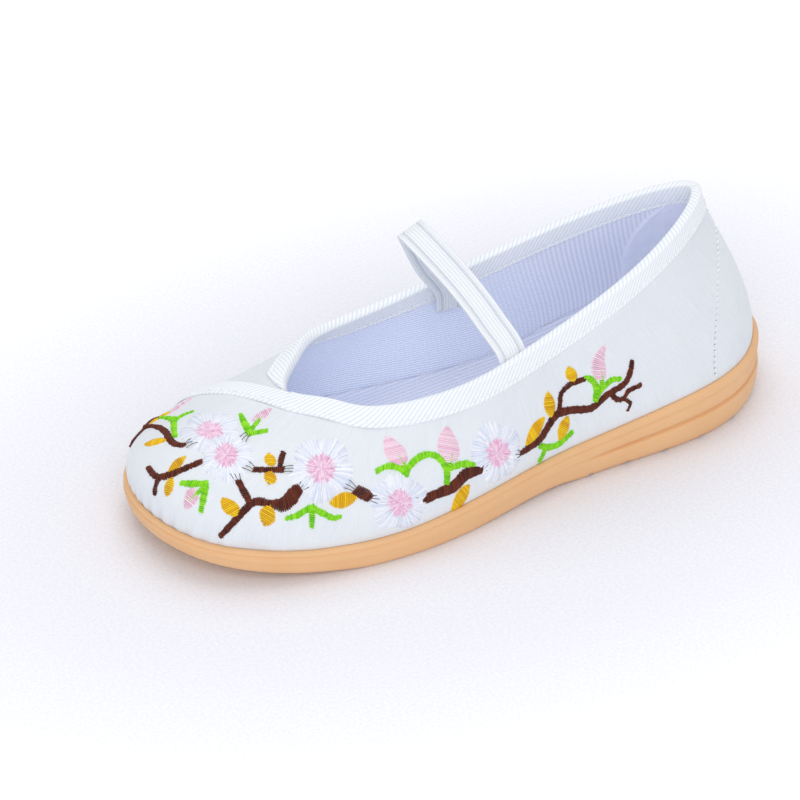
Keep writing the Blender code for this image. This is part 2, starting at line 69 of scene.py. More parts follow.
# Outsole: one moulding of tan rubber with a cup round the upper's foot, two bands round the heel, an arched
# underside and cross lugs under the heel. The upper is cemented into the cup.
LENGTH = 240.0
BALL_WIDTH = 89.0
HEEL_HEIGHT = 79.0
CENTRE_LINE = np.array([2.1, 0.0, 0.0])   # middle of the sole, from the last's own axis
GAP = 0.3
CUP_DEPTH = 3.0
GROOVE_DEPTH = 1.6
GROOVE_ROOF = 1.75       # width of a gap between lugs, at its roof and at the floor
GROOVE_MOUTH = 3.1
LUG_GROOVES = (0.140, 0.203, 0.267, 0.332, 0.397)
BANDS_START = 0.09
BANDS_WHOLE = 0.20
SOLE_STATIONS = 190
SOLE_SPANS = 18
MERGE = 2e-6             # points closer than this are one, in metres
# Round the last: feather line and collar in ball widths, lengths and heel heights, then the wall's tilt in
# degrees and hold in millimetres at the foot, and the same at the collar
LAST = {
    "heel_back":     (0.006, 0.4925, -0.006, 0.410, 0.985, 4, 20, 86, 8.5),
    "heel_lateral":  (0.288, 0.4340, 0.184, 0.332, 0.948, 3, 16, 88, 13),
    "waist_lateral": (0.409, 0.1360, 0.332, 0.080, 0.713, 5, 12, 80, 12),
    "ball_lateral":  (0.517, -0.1480, 0.325, -0.097, 0.598, 10, 12, 65, 12),
    "little_toe":    (0.489, -0.2790, 0.242, -0.178, 0.571, 12, 13, 40, 14),
    "toe_lateral":   (0.300, -0.4440, 0.115, -0.235, 0.590, 21, 18, 27, 18),
    "toe_tip":       (-0.031, -0.4925, -0.033, -0.268, 0.580, 23, 23, 21, 22),
    "toe_medial":    (-0.334, -0.4520, -0.158, -0.229, 0.616, 22, 19, 27, 18),
    "big_toe":       (-0.463, -0.3230, -0.266, -0.182, 0.620, 12, 13, 40, 14),
    "ball_medial":   (-0.444, -0.1580, -0.322, -0.104, 0.606, 10, 12, 65, 12),
    "waist_medial":  (-0.315, 0.1140, -0.314, 0.077, 0.690, 5, 12, 84, 12),
    "heel_medial":   (-0.298, 0.3980, -0.178, 0.340, 0.912, 4, 16, 88, 13),
}
LAST_SCALE = (BALL_WIDTH, LENGTH, BALL_WIDTH, LENGTH, HEEL_HEIGHT, math.pi / 180, 1, math.pi / 180, 1)
# Along the sole: heights of its rim and its underside
SOLE = {
    "heel_end":   (0.500, 22.5, 1.4),
    "heel_edge":  (0.450, 22.0, 0.0),
    "heel_seat":  (0.333, 20.9, 0.0),
    "heel_front": (0.140, 15.4, 0.0),
    "waist":      (0.070, 14.4, 1.6),
    "ball_back":  (-0.090, 12.1, 0.0),
    "ball_front": (-0.230, 10.3, 0.0),
    "toe_break":  (-0.310, 11.1, 1.8),
    "toe_spring": (-0.400, 13.6, 5.0),
    "toe_end":    (-0.500, 16.2, 9.4),
}
# Down the sole's side: share of its height, and how far it stands out at the heel and at the forefoot
SIDE = {
    "lip_top":     (0.985, 1.4, 1.4),
    "lip_edge":    (0.930, 2.2, 2.1),
    "lip_belly":   (0.870, 2.3, 2.2),
    "lip_foot":    (0.810, 1.8, 1.8),
    "upper_band":  (0.740, 2.1, 2.2),
    "band_foot":   (0.580, 1.8, 2.3),
    "groove":      (0.525, 0.8, 2.2),
    "ledge":       (0.500, 2.1, 2.1),
    "lower_band":  (0.440, 2.5, 2.0),
    "lower_belly": (0.250, 2.2, 1.8),
    "tread_curve": (0.080, 1.0, 1.3),
    "tread_edge":  (0.000, -0.8, 0.0),
}
TAN = (240, 194, 146)
TAN_DEEP = (234, 183, 132)


def closed_spline(knots, values):
    """Cubic spline through rows of values that repeats after one turn of the parameter."""
    count = len(knots)
    steps = np.diff(np.append(knots, knots[0] + 1.0))
    system = np.zeros((count, count))
    slopes = np.zeros_like(values)
    for row in range(count):
        before, after = steps[row - 1], steps[row]
        system[row, row - 1] += before
        system[row, row] += 2 * (before + after)
        system[row, (row + 1) % count] += after
        slopes[row] = 6 * ((values[(row + 1) % count] - values[row]) / after
                           - (values[row] - values[row - 1]) / before)
    bends = np.linalg.solve(system, slopes)

    def evaluate(turn):
        turn = np.asarray(turn, float) % 1.0
        first = np.clip(np.searchsorted(knots, turn, side="right") - 1, 0, count - 1)
        second = (first + 1) % count
        step = steps[first][..., None]
        ahead = (turn - knots[first])[..., None]
        left = step - ahead
        return (bends[first] * left ** 3 / (6 * step) + bends[second] * ahead ** 3 / (6 * step)
                + (values[first] / step - bends[first] * step / 6) * left
                + (values[second] / step - bends[second] * step / 6) * ahead)

    return evaluate


def steady_curve(places, values):
    """Smooth curve through a column of values that never overshoots, so flat stretches stay flat."""
    order = np.argsort(places)
    places, values = np.asarray(places)[order], np.asarray(values)[order]
    rates = np.diff(values) / np.diff(places)
    tangents = np.zeros_like(values)
    same = rates[1:] * rates[:-1] > 0
    tangents[1:-1][same] = 2 * rates[1:][same] * rates[:-1][same] / (rates[1:] + rates[:-1])[same]
    tangents[0], tangents[-1] = rates[0], rates[-1]

    def evaluate(place):
        place = np.clip(np.asarray(place, float), places[0], places[-1])
        span = np.clip(np.searchsorted(places, place, side="right") - 1, 0, len(places) - 2)
        width = places[span + 1] - places[span]
        share = (place - places[span]) / width
        rest = 1 - share
        return (values[span] * rest ** 2 * (1 + 2 * share) + values[span + 1] * share ** 2 * (1 + 2 * rest)
                + width * share * rest * (tangents[span] * rest - tangents[span + 1] * share))

    return evaluate


def ease(value):
    """Smooth step from 0 to 1."""
    value = np.clip(value, 0, 1)
    return value * value * (3 - 2 * value)


def way_along(points):
    """Distance gone at each of a line of points."""
    return np.append(0, np.cumsum(np.linalg.norm(np.diff(points, axis=0), axis=1)))


def unit(vectors):
    """Vectors made one long."""
    return vectors / np.linalg.norm(vectors, axis=-1, keepdims=True)


last_rows = np.array(list(LAST.values())) * np.array(LAST_SCALE)
foot_steps = np.linalg.norm(np.roll(last_rows[:, :2], -1, axis=0) - last_rows[:, :2], axis=1)
PERIMETER = foot_steps.sum()
last_at = closed_spline(np.append(0.0, np.cumsum(foot_steps)[:-1]) / PERIMETER, last_rows)
sole_rows = np.array(list(SOLE.values()))
rim_height = steady_curve(sole_rows[:, 0] * LENGTH, sole_rows[:, 1])
floor_height = steady_curve(sole_rows[:, 0] * LENGTH, sole_rows[:, 2])


def feather(turn):
    """Feather line at the rim's height, its outward direction in plan, and the last's row there."""
    tiny = 1e-4
    row = last_at(turn)
    plan = row[..., :2]
    along = last_at(np.asarray(turn) + tiny)[..., :2] - last_at(np.asarray(turn) - tiny)[..., :2]
    out = unit(np.stack([-along[..., 1], along[..., 0], np.zeros(plan.shape[:-1])], axis=-1))
    point = np.concatenate([plan, rim_height(plan[..., 1])[..., None]], axis=-1)
    return point, out, row


def paired_turns(places):
    """Turns from the heel by the lateral side to the toe and back, at the same places along both sides."""
    fine = np.linspace(-0.25, 0.75, 8001)
    along = last_at(fine)[:, 1]
    heel = np.argmax(along)
    toe = np.argmin(along)
    lateral = np.linspace(fine[heel], fine[toe], 4000)
    medial = np.linspace(fine[heel] + 1, fine[toe], 4000)
    lateral_turns = np.interp(-places, -last_at(lateral)[:, 1], lateral)
    medial_turns = np.interp(-places, -last_at(medial)[:, 1], medial)
    return np.concatenate([[fine[heel]], lateral_turns, [fine[toe]], medial_turns[::-1]])


def solid_from(name, patches, materials=()):
    """One object from grids of points in millimetres with their UV and material; meeting edges are merged."""
    points, faces, coordinates, finishes = [], [], [], []
    for grid, uv, finish in patches:
        rows, cols = grid.shape[:2]
        index = np.arange(rows * cols).reshape(rows, cols) + len(points)
        corners = [index[:-1, :-1], index[:-1, 1:], index[1:, 1:], index[1:, :-1]]
        quads = np.stack(corners, axis=-1).reshape(-1, 4)
        points += ((grid.reshape(-1, 3) - CENTRE_LINE) * METRE).tolist()
        coordinates += uv.reshape(-1, 2).tolist()
        faces += quads.tolist()
        finishes += [finish] * len(quads)
    mesh = bpy.data.meshes.new(name)
    mesh.from_pydata(points, [], faces)
    layer = mesh.uv_layers.new(name="cloth")
    used = np.array(faces).reshape(-1)
    layer.data.foreach_set("uv", np.array(coordinates, np.float32)[used].reshape(-1))
    mesh.polygons.foreach_set("material_index", finishes)
    shape = bmesh.new()
    shape.from_mesh(mesh)
    bmesh.ops.remove_doubles(shape, verts=shape.verts, dist=MERGE)
    bmesh.ops.recalc_face_normals(shape, faces=shape.faces)
    shape.to_mesh(mesh)
    shape.free()
    mesh.shade_smooth()
    for material in materials:
        mesh.materials.append(material)
    piece = bpy.data.objects.new(name, mesh)
    bpy.context.scene.collection.objects.link(piece)
    return piece


def blank_uv(grid):
    """UV grid for a piece whose finish needs none."""
    return np.zeros(grid.shape[:2] + (2,))


def ring_grid(rows):
    """Grid of closed rows: the first column is repeated at the end."""
    rows = np.asarray(rows)
    return np.concatenate([rows, rows[:, :1]], axis=1)


def across(ring, height_at, spans):
    """Grid from the lateral to the medial half of a ring of paired columns, at a height along the foot."""
    half = len(ring) // 2
    lateral = ring[:half + 1]
    medial = np.concatenate([ring[:1], ring[:half - 1:-1]])
    share = np.linspace(0, 1, spans + 1)[None, :, None]
    grid = lateral[:, None] * (1 - share) + medial[:, None] * share
    grid[:, 1:-1, 2] = height_at(grid[:, 1:-1, 1])
    return grid


class Shade:
    """A value in a material's nodes. Arithmetic on it adds Math nodes, and node() adds any other node."""

    def __init__(self, tree, socket=None):
        self.tree = tree
        self.socket = socket

    def node(self, kind, settings=None, values=None, output=0):
        """Add a node, with its settings first and then its sockets, and return one of its outputs."""
        made = self.tree.nodes.new("ShaderNode" + kind)
        for name, setting in (settings or {}).items():
            setattr(made, name, setting)
        for name, value in (values or {}).items():
            if isinstance(value, Shade):
                self.tree.links.new(value.socket, made.inputs[name])
            else:
                made.inputs[name].default_value = value
        return Shade(self.tree, made.outputs[output])

    def math(self, operation, first, second=0.0):
        """A Math node on one or two values."""
        return self.node("Math", {"operation": operation}, {0: first, 1: second})

    def feed(self, shader, name):
        """Link this value to one of the shader's sockets."""
        self.tree.links.new(self.socket, shader.inputs[name])

    def __add__(self, other):
        return self.math("ADD", self, other)

    def __sub__(self, other):
        return self.math("SUBTRACT", self, other)

    def __rsub__(self, other):
        return self.math("SUBTRACT", other, self)

    def __mul__(self, other):
        return self.math("MULTIPLY", self, other)

    __radd__ = __add__
    __rmul__ = __mul__


def colour(red, green, blue):
    """An sRGB colour as the shader takes it."""
    return (*[((part / 255 + 0.055) / 1.055) ** 2.4 for part in (red, green, blue)], 1.0)


def new_finish(name, **constants):
    """A material, a Shade to write its nodes with, and its shader with the constant sockets set."""
    material = bpy.data.materials.new(name)
    material.use_nodes = True
    shader = material.node_tree.nodes["Principled BSDF"]
    for socket, value in constants.items():
        shader.inputs[socket.replace("_", " ")].default_value = value
    return material, Shade(material.node_tree), shader


def mixed(paint, factor, first, second):
    """A blend of two colours."""
    return paint.node("Mix", {"data_type": "RGBA"}, {0: factor, 6: first, 7: second}, output=2)


def glowing(shader, tint):
    """One colour for a cloth's face and for its painted glow, which stands for the daylight let through it.
    """
    tint.feed(shader, "Base Color")
    tint.feed(shader, "Emission Color")


def cloudy(paint, place, scale, detail=2.0):
    """Soft noise from 0 to 1 over a vector."""
    return paint.node("TexNoise", {}, {"Vector": place, "Scale": scale, "Detail": detail})


def smooth_range(paint, value, low, high):
    """Smooth step from 0 to 1 as a value goes from low to high."""
    return paint.node("MapRange", {"interpolation_type": "SMOOTHSTEP"}, {0: value, 1: low, 2: high})


def raised(paint, shader, height, depth):
    """Bump in metres from a height of 0 to 1."""
    paint.node("Bump", {}, {"Height": height, "Strength": 1.0, "Distance": depth}).feed(shader, "Normal")


def tan_rubber():
    """Matt moulded rubber, a little mottled and rubbed."""
    material, paint, shader = new_finish("tan_rubber", Specular_IOR_Level=0.35)
    place = paint.node("TexCoord", output=3)
    mottle = cloudy(paint, place, 60.0)
    grain = cloudy(paint, place, 2600.0)
    mixed(paint, mottle, colour(*TAN), colour(*TAN_DEEP)).feed(shader, "Base Color")
    (0.42 + 0.2 * mottle).feed(shader, "Roughness")
    raised(paint, shader, grain, 0.00004)
    return material


def lug_lift(along):
    """How far the gaps between the lugs rise above the tread."""
    lift = np.zeros_like(along)
    for place in LUG_GROOVES:
        aside = abs(along - place * LENGTH)
        share = (GROOVE_MOUTH / 2 - aside) / ((GROOVE_MOUTH - GROOVE_ROOF) / 2)
        lift = np.maximum(lift, GROOVE_DEPTH * ease(share))
    return lift


def sole_places():
    """Sections along the sole: closer at heel and toe, where the outline turns, and at the lugs' edges."""
    angles = np.linspace(0, math.pi, SOLE_STATIONS + 1)[1:-1]
    plan = last_at(np.linspace(0, 1, 4001))[:, 1]
    middle, reach = (plan.max() + plan.min()) / 2, (plan.max() - plan.min()) / 2
    edges = [place * LENGTH + side * GROOVE_MOUTH / 2 * share for place in LUG_GROOVES
             for side in (-1, 1) for share in (0.5, 0.62, 0.74, 0.86, 1.0)]
    return np.unique(np.round(np.concatenate([middle + reach * np.cos(angles), edges]), 3))[::-1]


def make_outsole():
    """Cup, side bands and tread, closed across the footbed and the underside."""
    foot, out, row = feather(paired_turns(sole_places()))
    top = rim_height(foot[:, 1])
    bottom = floor_height(foot[:, 1])
    heel_share = ease((foot[:, 1] / LENGTH - BANDS_START) / (BANDS_WHOLE - BANDS_START))
    side = np.array(list(SIDE.values()))
    heel_out = steady_curve(side[:, 0], side[:, 1])
    fore_out = steady_curve(side[:, 0], side[:, 2])

    def ring(outwards, heights):
        plan = foot + out * np.broadcast_to(outwards, top.shape)[:, None]
        return np.column_stack([plan[:, :2], np.broadcast_to(heights, top.shape)])

    rings = [ring(GAP - CUP_DEPTH * np.tan(row[:, 5]), top - CUP_DEPTH), ring(0.02, top - 0.3),
             ring(0.02, top + 0.1), ring(GAP + 0.4, top + 0.05), ring(GAP + 0.9, top - 0.06)]
    for high, low in zip(side[:-1, 0], side[1:, 0]):
        for share in np.linspace(high, low, 5)[:-1]:
            outwards = heel_out(share) * heel_share + fore_out(share) * (1 - heel_share)
            rings.append(ring(outwards, bottom + share * (top - bottom)))
    rings.append(ring(side[-1, 1] * heel_share + side[-1, 2] * (1 - heel_share), bottom))
    rings = np.array(rings)
    under = floor_height(rings[..., 1])
    rings[-1, :, 2] = under[-1]
    rings[..., 2] = np.maximum(rings[..., 2], under + lug_lift(rings[..., 1]))
    footbed = across(rings[0], lambda y: rim_height(y) - CUP_DEPTH, SOLE_SPANS)
    tread = across(rings[-1], lambda y: floor_height(y) + lug_lift(y), SOLE_SPANS)
    sides = ring_grid(rings)
    patches = [(grid, blank_uv(grid), 0) for grid in (sides, footbed, tread)]
    return solid_from("moulded_outsole", patches, [tan_rubber()])


outsole = make_outsole()
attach(outsole, "root")
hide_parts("outsole")

# Upper: white satin over stiffening and a pale lilac ribbed lining, cut as one wall and lasted into the cup.
# The lateral panel laps over the medial one across the vamp, and the toe is gathered where it is lasted.
CLOTH = 2.0
OVERHANG = 15.0          # with foot and collar this far apart in plan, the wall leans straight to its foot
LAP_STEP = 0.7
LAP_TURN = 0.4874        # where the lateral panel's edge leaves the collar, in turns round the foot
LAP_FOOT_TURN = 0.605    # and where it meets the sole
LAP_BLEND = 3.0          # width of the step, and how far the medial panel lies lower beside it
LAP_FADE = 40.0
LAP_COLLAR = 0.25        # share of the wall below the collar over which the step dies out
UPPER_COLUMNS = 600
WALL_ROWS = 72
LINING_ROWS = 34
SATIN = (240, 243, 247)
SATIN_SHADE = (216, 223, 231)
LINING = (238, 243, 252)
LINING_SHADE = (176, 187, 228)
LINING_ENDS_SHADED = ((234, 237, 245), (176, 184, 217))   # the same two where the weave is coarser, greyer and darker there as painted shade deep in the shoe
RIB_PITCH = 0.95         # ribs of the lining along the foot, and of its coarser weave up the wall
CORD_PITCH = 1.8
TOE_TURN = 0.505         # turn of the toe, and from there to the waist, where the weave is finest
LINING_WAIST = 0.22
LINING_FINE = (0.08, 0.16)   # turns from the waist over which the coarser weave and its painted shade take over
LINING_GLOW = 0.15       # painted glow, standing for daylight let through the cloth
# Creases listed one by one: a soft trough, or a ridge where the depth is negative, from one place on the wall
# to
# another: turn and height of each end, then width and depth in millimetres
CREASES = {
    "toe_corner_trough": (0.425, 0.02, 0.440, 0.34, 4.0, 0.55),
    "toe_corner_ridge":  (0.408, 0.02, 0.420, 0.30, 4.5, -0.45),
    "vamp_flex_low":     (0.372, 0.12, 0.385, 0.55, 5.0, 0.40),
    "vamp_flex_high":    (0.350, 0.10, 0.352, 0.60, 6.0, -0.35),
    "ball_flex":         (0.320, 0.15, 0.315, 0.70, 6.0, 0.35),
    "waist_dent":        (0.205, 0.15, 0.190, 0.75, 9.0, 0.55),
    "quarter_swell":     (0.145, 0.15, 0.135, 0.80, 10.0, -0.50),
    "heel_hollow":       (0.093, 0.10, 0.090, 0.70, 6.0, 0.45),
    "medial_toe_trough": (0.580, 0.03, 0.572, 0.35, 4.0, 0.50),
    "medial_ball_flex":  (0.690, 0.15, 0.695, 0.65, 6.5, 0.45),
    "medial_waist_dent": (0.800, 0.15, 0.812, 0.75, 9.0, 0.60),
    "medial_swell":      (0.865, 0.15, 0.870, 0.80, 9.0, -0.45),
    "medial_heel":       (0.915, 0.10, 0.912, 0.70, 6.0, 0.40),
}
GATHER_PITCH = 5.2       # lasting gathers round the toe, their reach either side of it and up the wall
GATHER_DEPTH = 0.42
GATHER_REACH = 0.13
GATHER_RISE = 0.22
DRIFTS = 15              # slack waves round the whole foot, and how far they stand
DRIFT = 0.16
COLLAR_TAUT = 0.22       # heights below the collar and above the sole where the cloth is drawn tight
FOOT_TAUT = 0.05
WALL_HEIGHT = 62.0       # what the heights of creases are shares of, about
LINING_CREASE = 0.6      # how much of a crease the lining takes
ROW_CROWDING = 0.95      # rows of the wall come a little closer together towards the collar


def bare_wall(turn, height):
    """Outer face of the lasted cloth: height is 0 at the sole's rim, 1 at the collar, below 0 in the cup."""
    turn, height = np.broadcast_arrays(np.asarray(turn, float), np.asarray(height, float))
    foot, out, row = feather(turn)
    upward = np.array([0.0, 0.0, 1.0])
    lean, rise, drop, reach = (row[..., index, None] for index in (5, 6, 7, 8))
    edge = row[..., 2:5]
    inward = (foot - edge) * np.array([1.0, 1.0, 0.0])
    overhang = np.linalg.norm(inward, axis=-1, keepdims=True)
    sure = np.clip(overhang / OVERHANG, 0, 1)
    fall = unit(sure * inward / np.maximum(overhang, 1e-9) + (1 - sure) * out)
    low = foot + rise * (np.sin(lean) * out + np.cos(lean) * upward)
    high = edge + reach * (np.cos(drop) * fall - np.sin(drop) * upward)
    t = np.maximum(height, 0.0)[..., None]
    below = np.minimum(height, 0.0)[..., None]
    body = (1 - t) ** 3 * foot + 3 * t * (1 - t) ** 2 * low + 3 * t ** 2 * (1 - t) * high + t ** 3 * edge
    return body + 3 * below * (low - foot)


def lap_table():
    """Heights on the wall, and the turns where a straight cut from throat to medial sole crosses it."""
    heights = 1 - np.linspace(1, 0, 81) ** 2
    turns = np.linspace(LAP_TURN, LAP_FOOT_TURN, 400)
    throat = bare_wall(LAP_TURN, 1.0)
    cut = bare_wall(LAP_FOOT_TURN, 0.0) - throat
    points = bare_wall(turns[None, :], heights[:, None]) - throat
    ahead = points[..., 0] * cut[1] - points[..., 1] * cut[0]
    crossings = [np.interp(0.0, row * np.sign(row[-1] - row[0]), turns) for row in ahead]
    return heights, np.array(crossings)


lap_heights, lap_turns = lap_table()


def lap_line(height):
    """Turn at which the lateral panel's edge crosses the vamp at a height on the wall."""
    return np.interp(height, lap_heights, lap_turns)


def wall_frame(turn, height, face=bare_wall):
    """Point, outward normal, and the two directions along a face of the wall."""
    tiny = 1e-4
    turn, height = np.broadcast_arrays(np.asarray(turn, float), np.asarray(height, float))
    round_foot = (face(turn + tiny, height) - face(turn - tiny, height)) / (2 * tiny)
    up_wall = (face(turn, height + tiny) - face(turn, height - tiny)) / (2 * tiny)
    return face(turn, height), unit(np.cross(up_wall, round_foot)), round_foot, up_wall


def wall(turn, height):
    """Outer face of the upper: the medial panel lies lower beside the lateral panel's lapped edge."""
    point, normal, round_foot, _ = wall_frame(turn, height)
    past_edge = (np.asarray(turn) - lap_line(height)) * np.linalg.norm(round_foot, axis=-1)
    under = ease((past_edge + LAP_BLEND / 2) / LAP_BLEND) * (1 - ease(past_edge / LAP_FADE))
    under = under * ease((1 - np.asarray(height)) / LAP_COLLAR)
    return point - LAP_STEP * under[..., None] * normal


def crease_depth(turn, height):
    """How far the cloth sinks at a place on the wall, in millimetres."""
    sunk = np.zeros(np.broadcast(turn, height).shape)
    for start_turn, start_height, end_turn, end_height, width, depth in CREASES.values():
        run = np.array([(end_turn - start_turn) * PERIMETER, (end_height - start_height) * WALL_HEIGHT])
        side = (turn - start_turn) * PERIMETER
        up = (height - start_height) * WALL_HEIGHT
        share = np.clip((side * run[0] + up * run[1]) / (run @ run), 0, 1)
        apart = np.hypot(side - share * run[0], up - share * run[1])
        sunk += depth * np.exp(-(apart / width) ** 2)
    toe = ease(1 - abs(turn - TOE_TURN) / GATHER_REACH)
    lasted = ease(1 - np.maximum(height, 0) / GATHER_RISE)
    uneven = 1.8 * np.sin(turn * 61.0)
    ripple = np.cos(2 * math.pi * turn * PERIMETER / GATHER_PITCH + uneven)
    sunk += GATHER_DEPTH * ripple * toe * lasted
    drift = DRIFT * np.sin(2 * math.pi * DRIFTS * turn + 2.1 * height) * np.sin(4.3 * height + 0.8)
    return (sunk + drift) * ease((1 - height) / COLLAR_TAUT) * ease((height + 0.02) / FOOT_TAUT)


def cup_foot(turns):
    """Lowest edge of the upper in the sole's cup: height on the wall at each turn."""
    row = last_at(turns)
    return -(CUP_DEPTH - GAP) / (3 * row[:, 6] * np.cos(row[:, 5]))


def upper_faces():
    """Points of the creased outer face and of the lining as closed rows, with their UV in millimetres."""
    turns = np.linspace(0, 1, UPPER_COLUMNS + 1)

    def rows_of(count):
        heights = np.repeat(np.linspace(0, 1, count)[:, None] ** ROW_CROWDING, len(turns), axis=1)
        return np.concatenate([cup_foot(turns)[None, :], heights])

    outer_heights, inner_heights = rows_of(WALL_ROWS), rows_of(LINING_ROWS)
    spread = np.repeat(turns[None, :], len(outer_heights), axis=0)
    point, normal, _, up_wall = wall_frame(spread, outer_heights, wall)
    outer = point - crease_depth(spread, outer_heights)[..., None] * normal
    outer_uv = np.stack([spread * PERIMETER, outer_heights * np.linalg.norm(up_wall, axis=-1)], axis=-1)
    spread = np.repeat(turns[None, :], len(inner_heights), axis=0)
    point, normal, _, up_wall = wall_frame(spread, inner_heights, wall)
    inner = point - (CLOTH + LINING_CREASE * crease_depth(spread, inner_heights)[..., None]) * normal
    inner_uv = np.stack([spread * PERIMETER, point[..., 2]], axis=-1)
    return outer, outer_uv, inner, inner_uv


def cloth_place(paint):
    """A cloth's own coordinates in millimetres: both together, then each."""
    place = paint.node("UVMap", {"uv_map": "cloth"})
    return place, *(paint.node("SeparateXYZ", {}, {0: place}, output=axis) for axis in (0, 1))


def satin_cloth():
    """White satin: fine floats up the wall in a cooler tone, a soft sheen, and painted shade in broad soft
    blotches at random.
    """
    material, paint, shader = new_finish("satin_cloth", Sheen_Weight=0.25, Sheen_Roughness=0.35,
                                         Specular_IOR_Level=0.4)
    place = paint.node("UVMap", {"uv_map": "cloth"})
    stretched = paint.node("VectorMath", {"operation": "MULTIPLY"}, {0: place, 1: (1.9, 0.07, 0.0)})
    floats = cloudy(paint, stretched, 1.0, 3.0)
    # broad soft blotches: painted shade, at random places on the wall
    broad = cloudy(paint, place, 0.05, 1.0)
    mixed(paint, 0.55 * floats + 0.3 * broad, colour(*SATIN), colour(*SATIN_SHADE)).feed(shader, "Base Color")
    (0.40 + 0.22 * floats).feed(shader, "Roughness")
    raised(paint, shader, floats, 0.00022)
    return material


def ribbed_lining():
    """Pale lilac cotton with fine ribs along the foot, and in places a coarser weave up the wall, greyed
    there by painted shade.
    """
    material, paint, shader = new_finish("ribbed_lining", Specular_IOR_Level=0.2, Sheen_Weight=0.15,
                                         Emission_Strength=LINING_GLOW)
    place, round_foot, up_wall = cloth_place(paint)
    rib = 0.5 + 0.5 * paint.math("SINE", up_wall * (2 * math.pi / RIB_PITCH))
    cord = 0.5 + 0.5 * paint.math("SINE", round_foot * (2 * math.pi / CORD_PITCH))
    fuzz = cloudy(paint, place, 1.4, 3.0)
    from_toe = paint.math("ABSOLUTE", round_foot * (1 / PERIMETER) - TOE_TURN)
    from_waist = paint.math("ABSOLUTE", from_toe - LINING_WAIST)
    ends = smooth_range(paint, from_waist, *LINING_FINE)
    shade = (0.5 - 0.25 * ends) * rib + (0.05 + 0.28 * ends) * cord + 0.25 * fuzz
    fine_weave = mixed(paint, shade, colour(*LINING), colour(*LINING_SHADE))
    shaded_coarse_weave = mixed(paint, shade, *(colour(*tone) for tone in LINING_ENDS_SHADED))
    # towards heel and toe the cloth turns greyer and darker: painted shade deep in the shoe
    tint = mixed(paint, ends, fine_weave, shaded_coarse_weave)
    glowing(shader, tint)
    (0.7 + 0.2 * fuzz).feed(shader, "Roughness")
    raised(paint, shader, 1 - shade, 0.00020)
    return material


lining_cloth = ribbed_lining()
outer_face, outer_uv, lining_face, lining_uv = upper_faces()
collar_face = np.stack([outer_face[-1], lining_face[-1]])
foot_face = np.stack([lining_face[0], outer_face[0]])
upper = solid_from("satin_upper", [
    (outer_face, outer_uv, 0),
    (collar_face, np.stack([outer_uv[-1], outer_uv[-1]]), 0),
    (lining_face[::-1], lining_uv[::-1], 1),
    (foot_face, np.stack([lining_uv[0], lining_uv[0]]), 1),
], [satin_cloth(), lining_cloth])
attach(upper, "root")
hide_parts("upper")

# Insole: a thin board covered in the lining's cloth and laid in the foot of the upper.
# Its edge lies close against the wall, where the cover curls up a little.
INSOLE = 3.0
INSOLE_EDGE = -0.1       # the cover presses a little into the lining
INSOLE_CURL = 0.5        # how far the cover rises where it meets the wall


def make_insole():
    """The board's outline follows the lining's foot, and its cover curls up a little along the wall."""
    turns = paired_turns(sole_places())
    point, _, _, _ = wall_frame(turns, cup_foot(turns), wall)
    _, out, _ = feather(turns)

    def ring(inset, lift):
        edge = point - (CLOTH + INSOLE_EDGE + inset) * out
        return np.column_stack([edge[:, :2], rim_height(edge[:, 1]) - CUP_DEPTH + GAP + lift])

    def bed(lift):
        return lambda y: rim_height(y) - CUP_DEPTH + GAP + lift

    rings = np.array([ring(2 * GAP, 0.0), ring(GAP, INSOLE), ring(GAP, INSOLE + INSOLE_CURL),
                      ring(1.2, INSOLE + INSOLE_CURL / 2), ring(2.5, INSOLE)])
    top = across(rings[-1], bed(INSOLE), SOLE_SPANS)
    base = across(rings[0], bed(0.0), SOLE_SPANS)
    patches = [(grid, grid[..., :2], 0) for grid in (ring_grid(rings), top, base)]
    return solid_from("covered_insole", patches, [lining_cloth])


insole = make_insole()
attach(insole, "root")
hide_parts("insole")

# Bindings: white twill tape cut on the bias, folded over the collar and sewn through. The lateral tape runs
# on across the vamp to the medial side of the sole, and the medial tape tucks under it at the throat.
TAPE = 0.8
TAPE_OUTSIDE = 7.0
TAPE_INSIDE = 7.4
TAPE_STEP = 0.4          # between sections along the tape
TAPE_END = 0.0004
LAP_FOOT = 0.03
OUTER_SPANS = 26
LINING_SPANS = 22
FOLD_SPANS = 14
TWILL_PITCH = 1.3        # between ribs, and how far they stand out
TWILL_RELIEF = 0.16
TWILL = (247, 249, 251)
TWILL_SHADE = (218, 225, 234)
TAPE_LIFT = 0.12         # off the cloth on the collar and, over the other panel, on the vamp
LAP_LIFT = 0.35
EDGE_LIFT = 0.08         # off the cloth at the tape's own edges
TWILL_GLOW = 0.05        # painted glow, standing for daylight let through the tape
FOLD_WAY = 3.8           # length of the fold over the collar
TAPE_ROW = 1.6           # stitches in from the tape's lower edge, and how far they draw it down
ROW_DRAWS = 0.3
ROW_WIDTH = 0.45
TAPE_BEVEL = 10          # the tape thins over a tenth of its width, to this share of its thickness
TAPE_THIN = 0.45
FOLDED_THIN = 0.6        # and at the folded edge over the vamp to this share
FOLDED_BEVEL = 12
LAP_CROWDING = 1.7       # sections of the vamp tape start out closer at the throat


def slide(turn, height, direction, distance):
    """Walk along the wall from a point on it, in a direction in space, in four short steps."""
    for _ in range(4):
        _, _, round_foot, up_wall = wall_frame(turn, height)
        a = np.sum(round_foot * round_foot, axis=-1)
        b = np.sum(round_foot * up_wall, axis=-1)
        c = np.sum(up_wall * up_wall, axis=-1)
        p = np.sum(round_foot * direction, axis=-1)
        q = np.sum(up_wall * direction, axis=-1)
        turn = turn + (c * p - b * q) / (a * c - b * b) * distance / 4
        height = height + (a * q - b * p) / (a * c - b * b) * distance / 4
    return turn, height


def twill(along, across_tape):
    """Height of the bias ribs over the tape, by millimetres along it and across it."""
    wave = np.cos(2 * math.pi * (along + across_tape) / (TWILL_PITCH * math.sqrt(2)))
    return TWILL_RELIEF * np.sqrt(0.5 + 0.5 * wave)


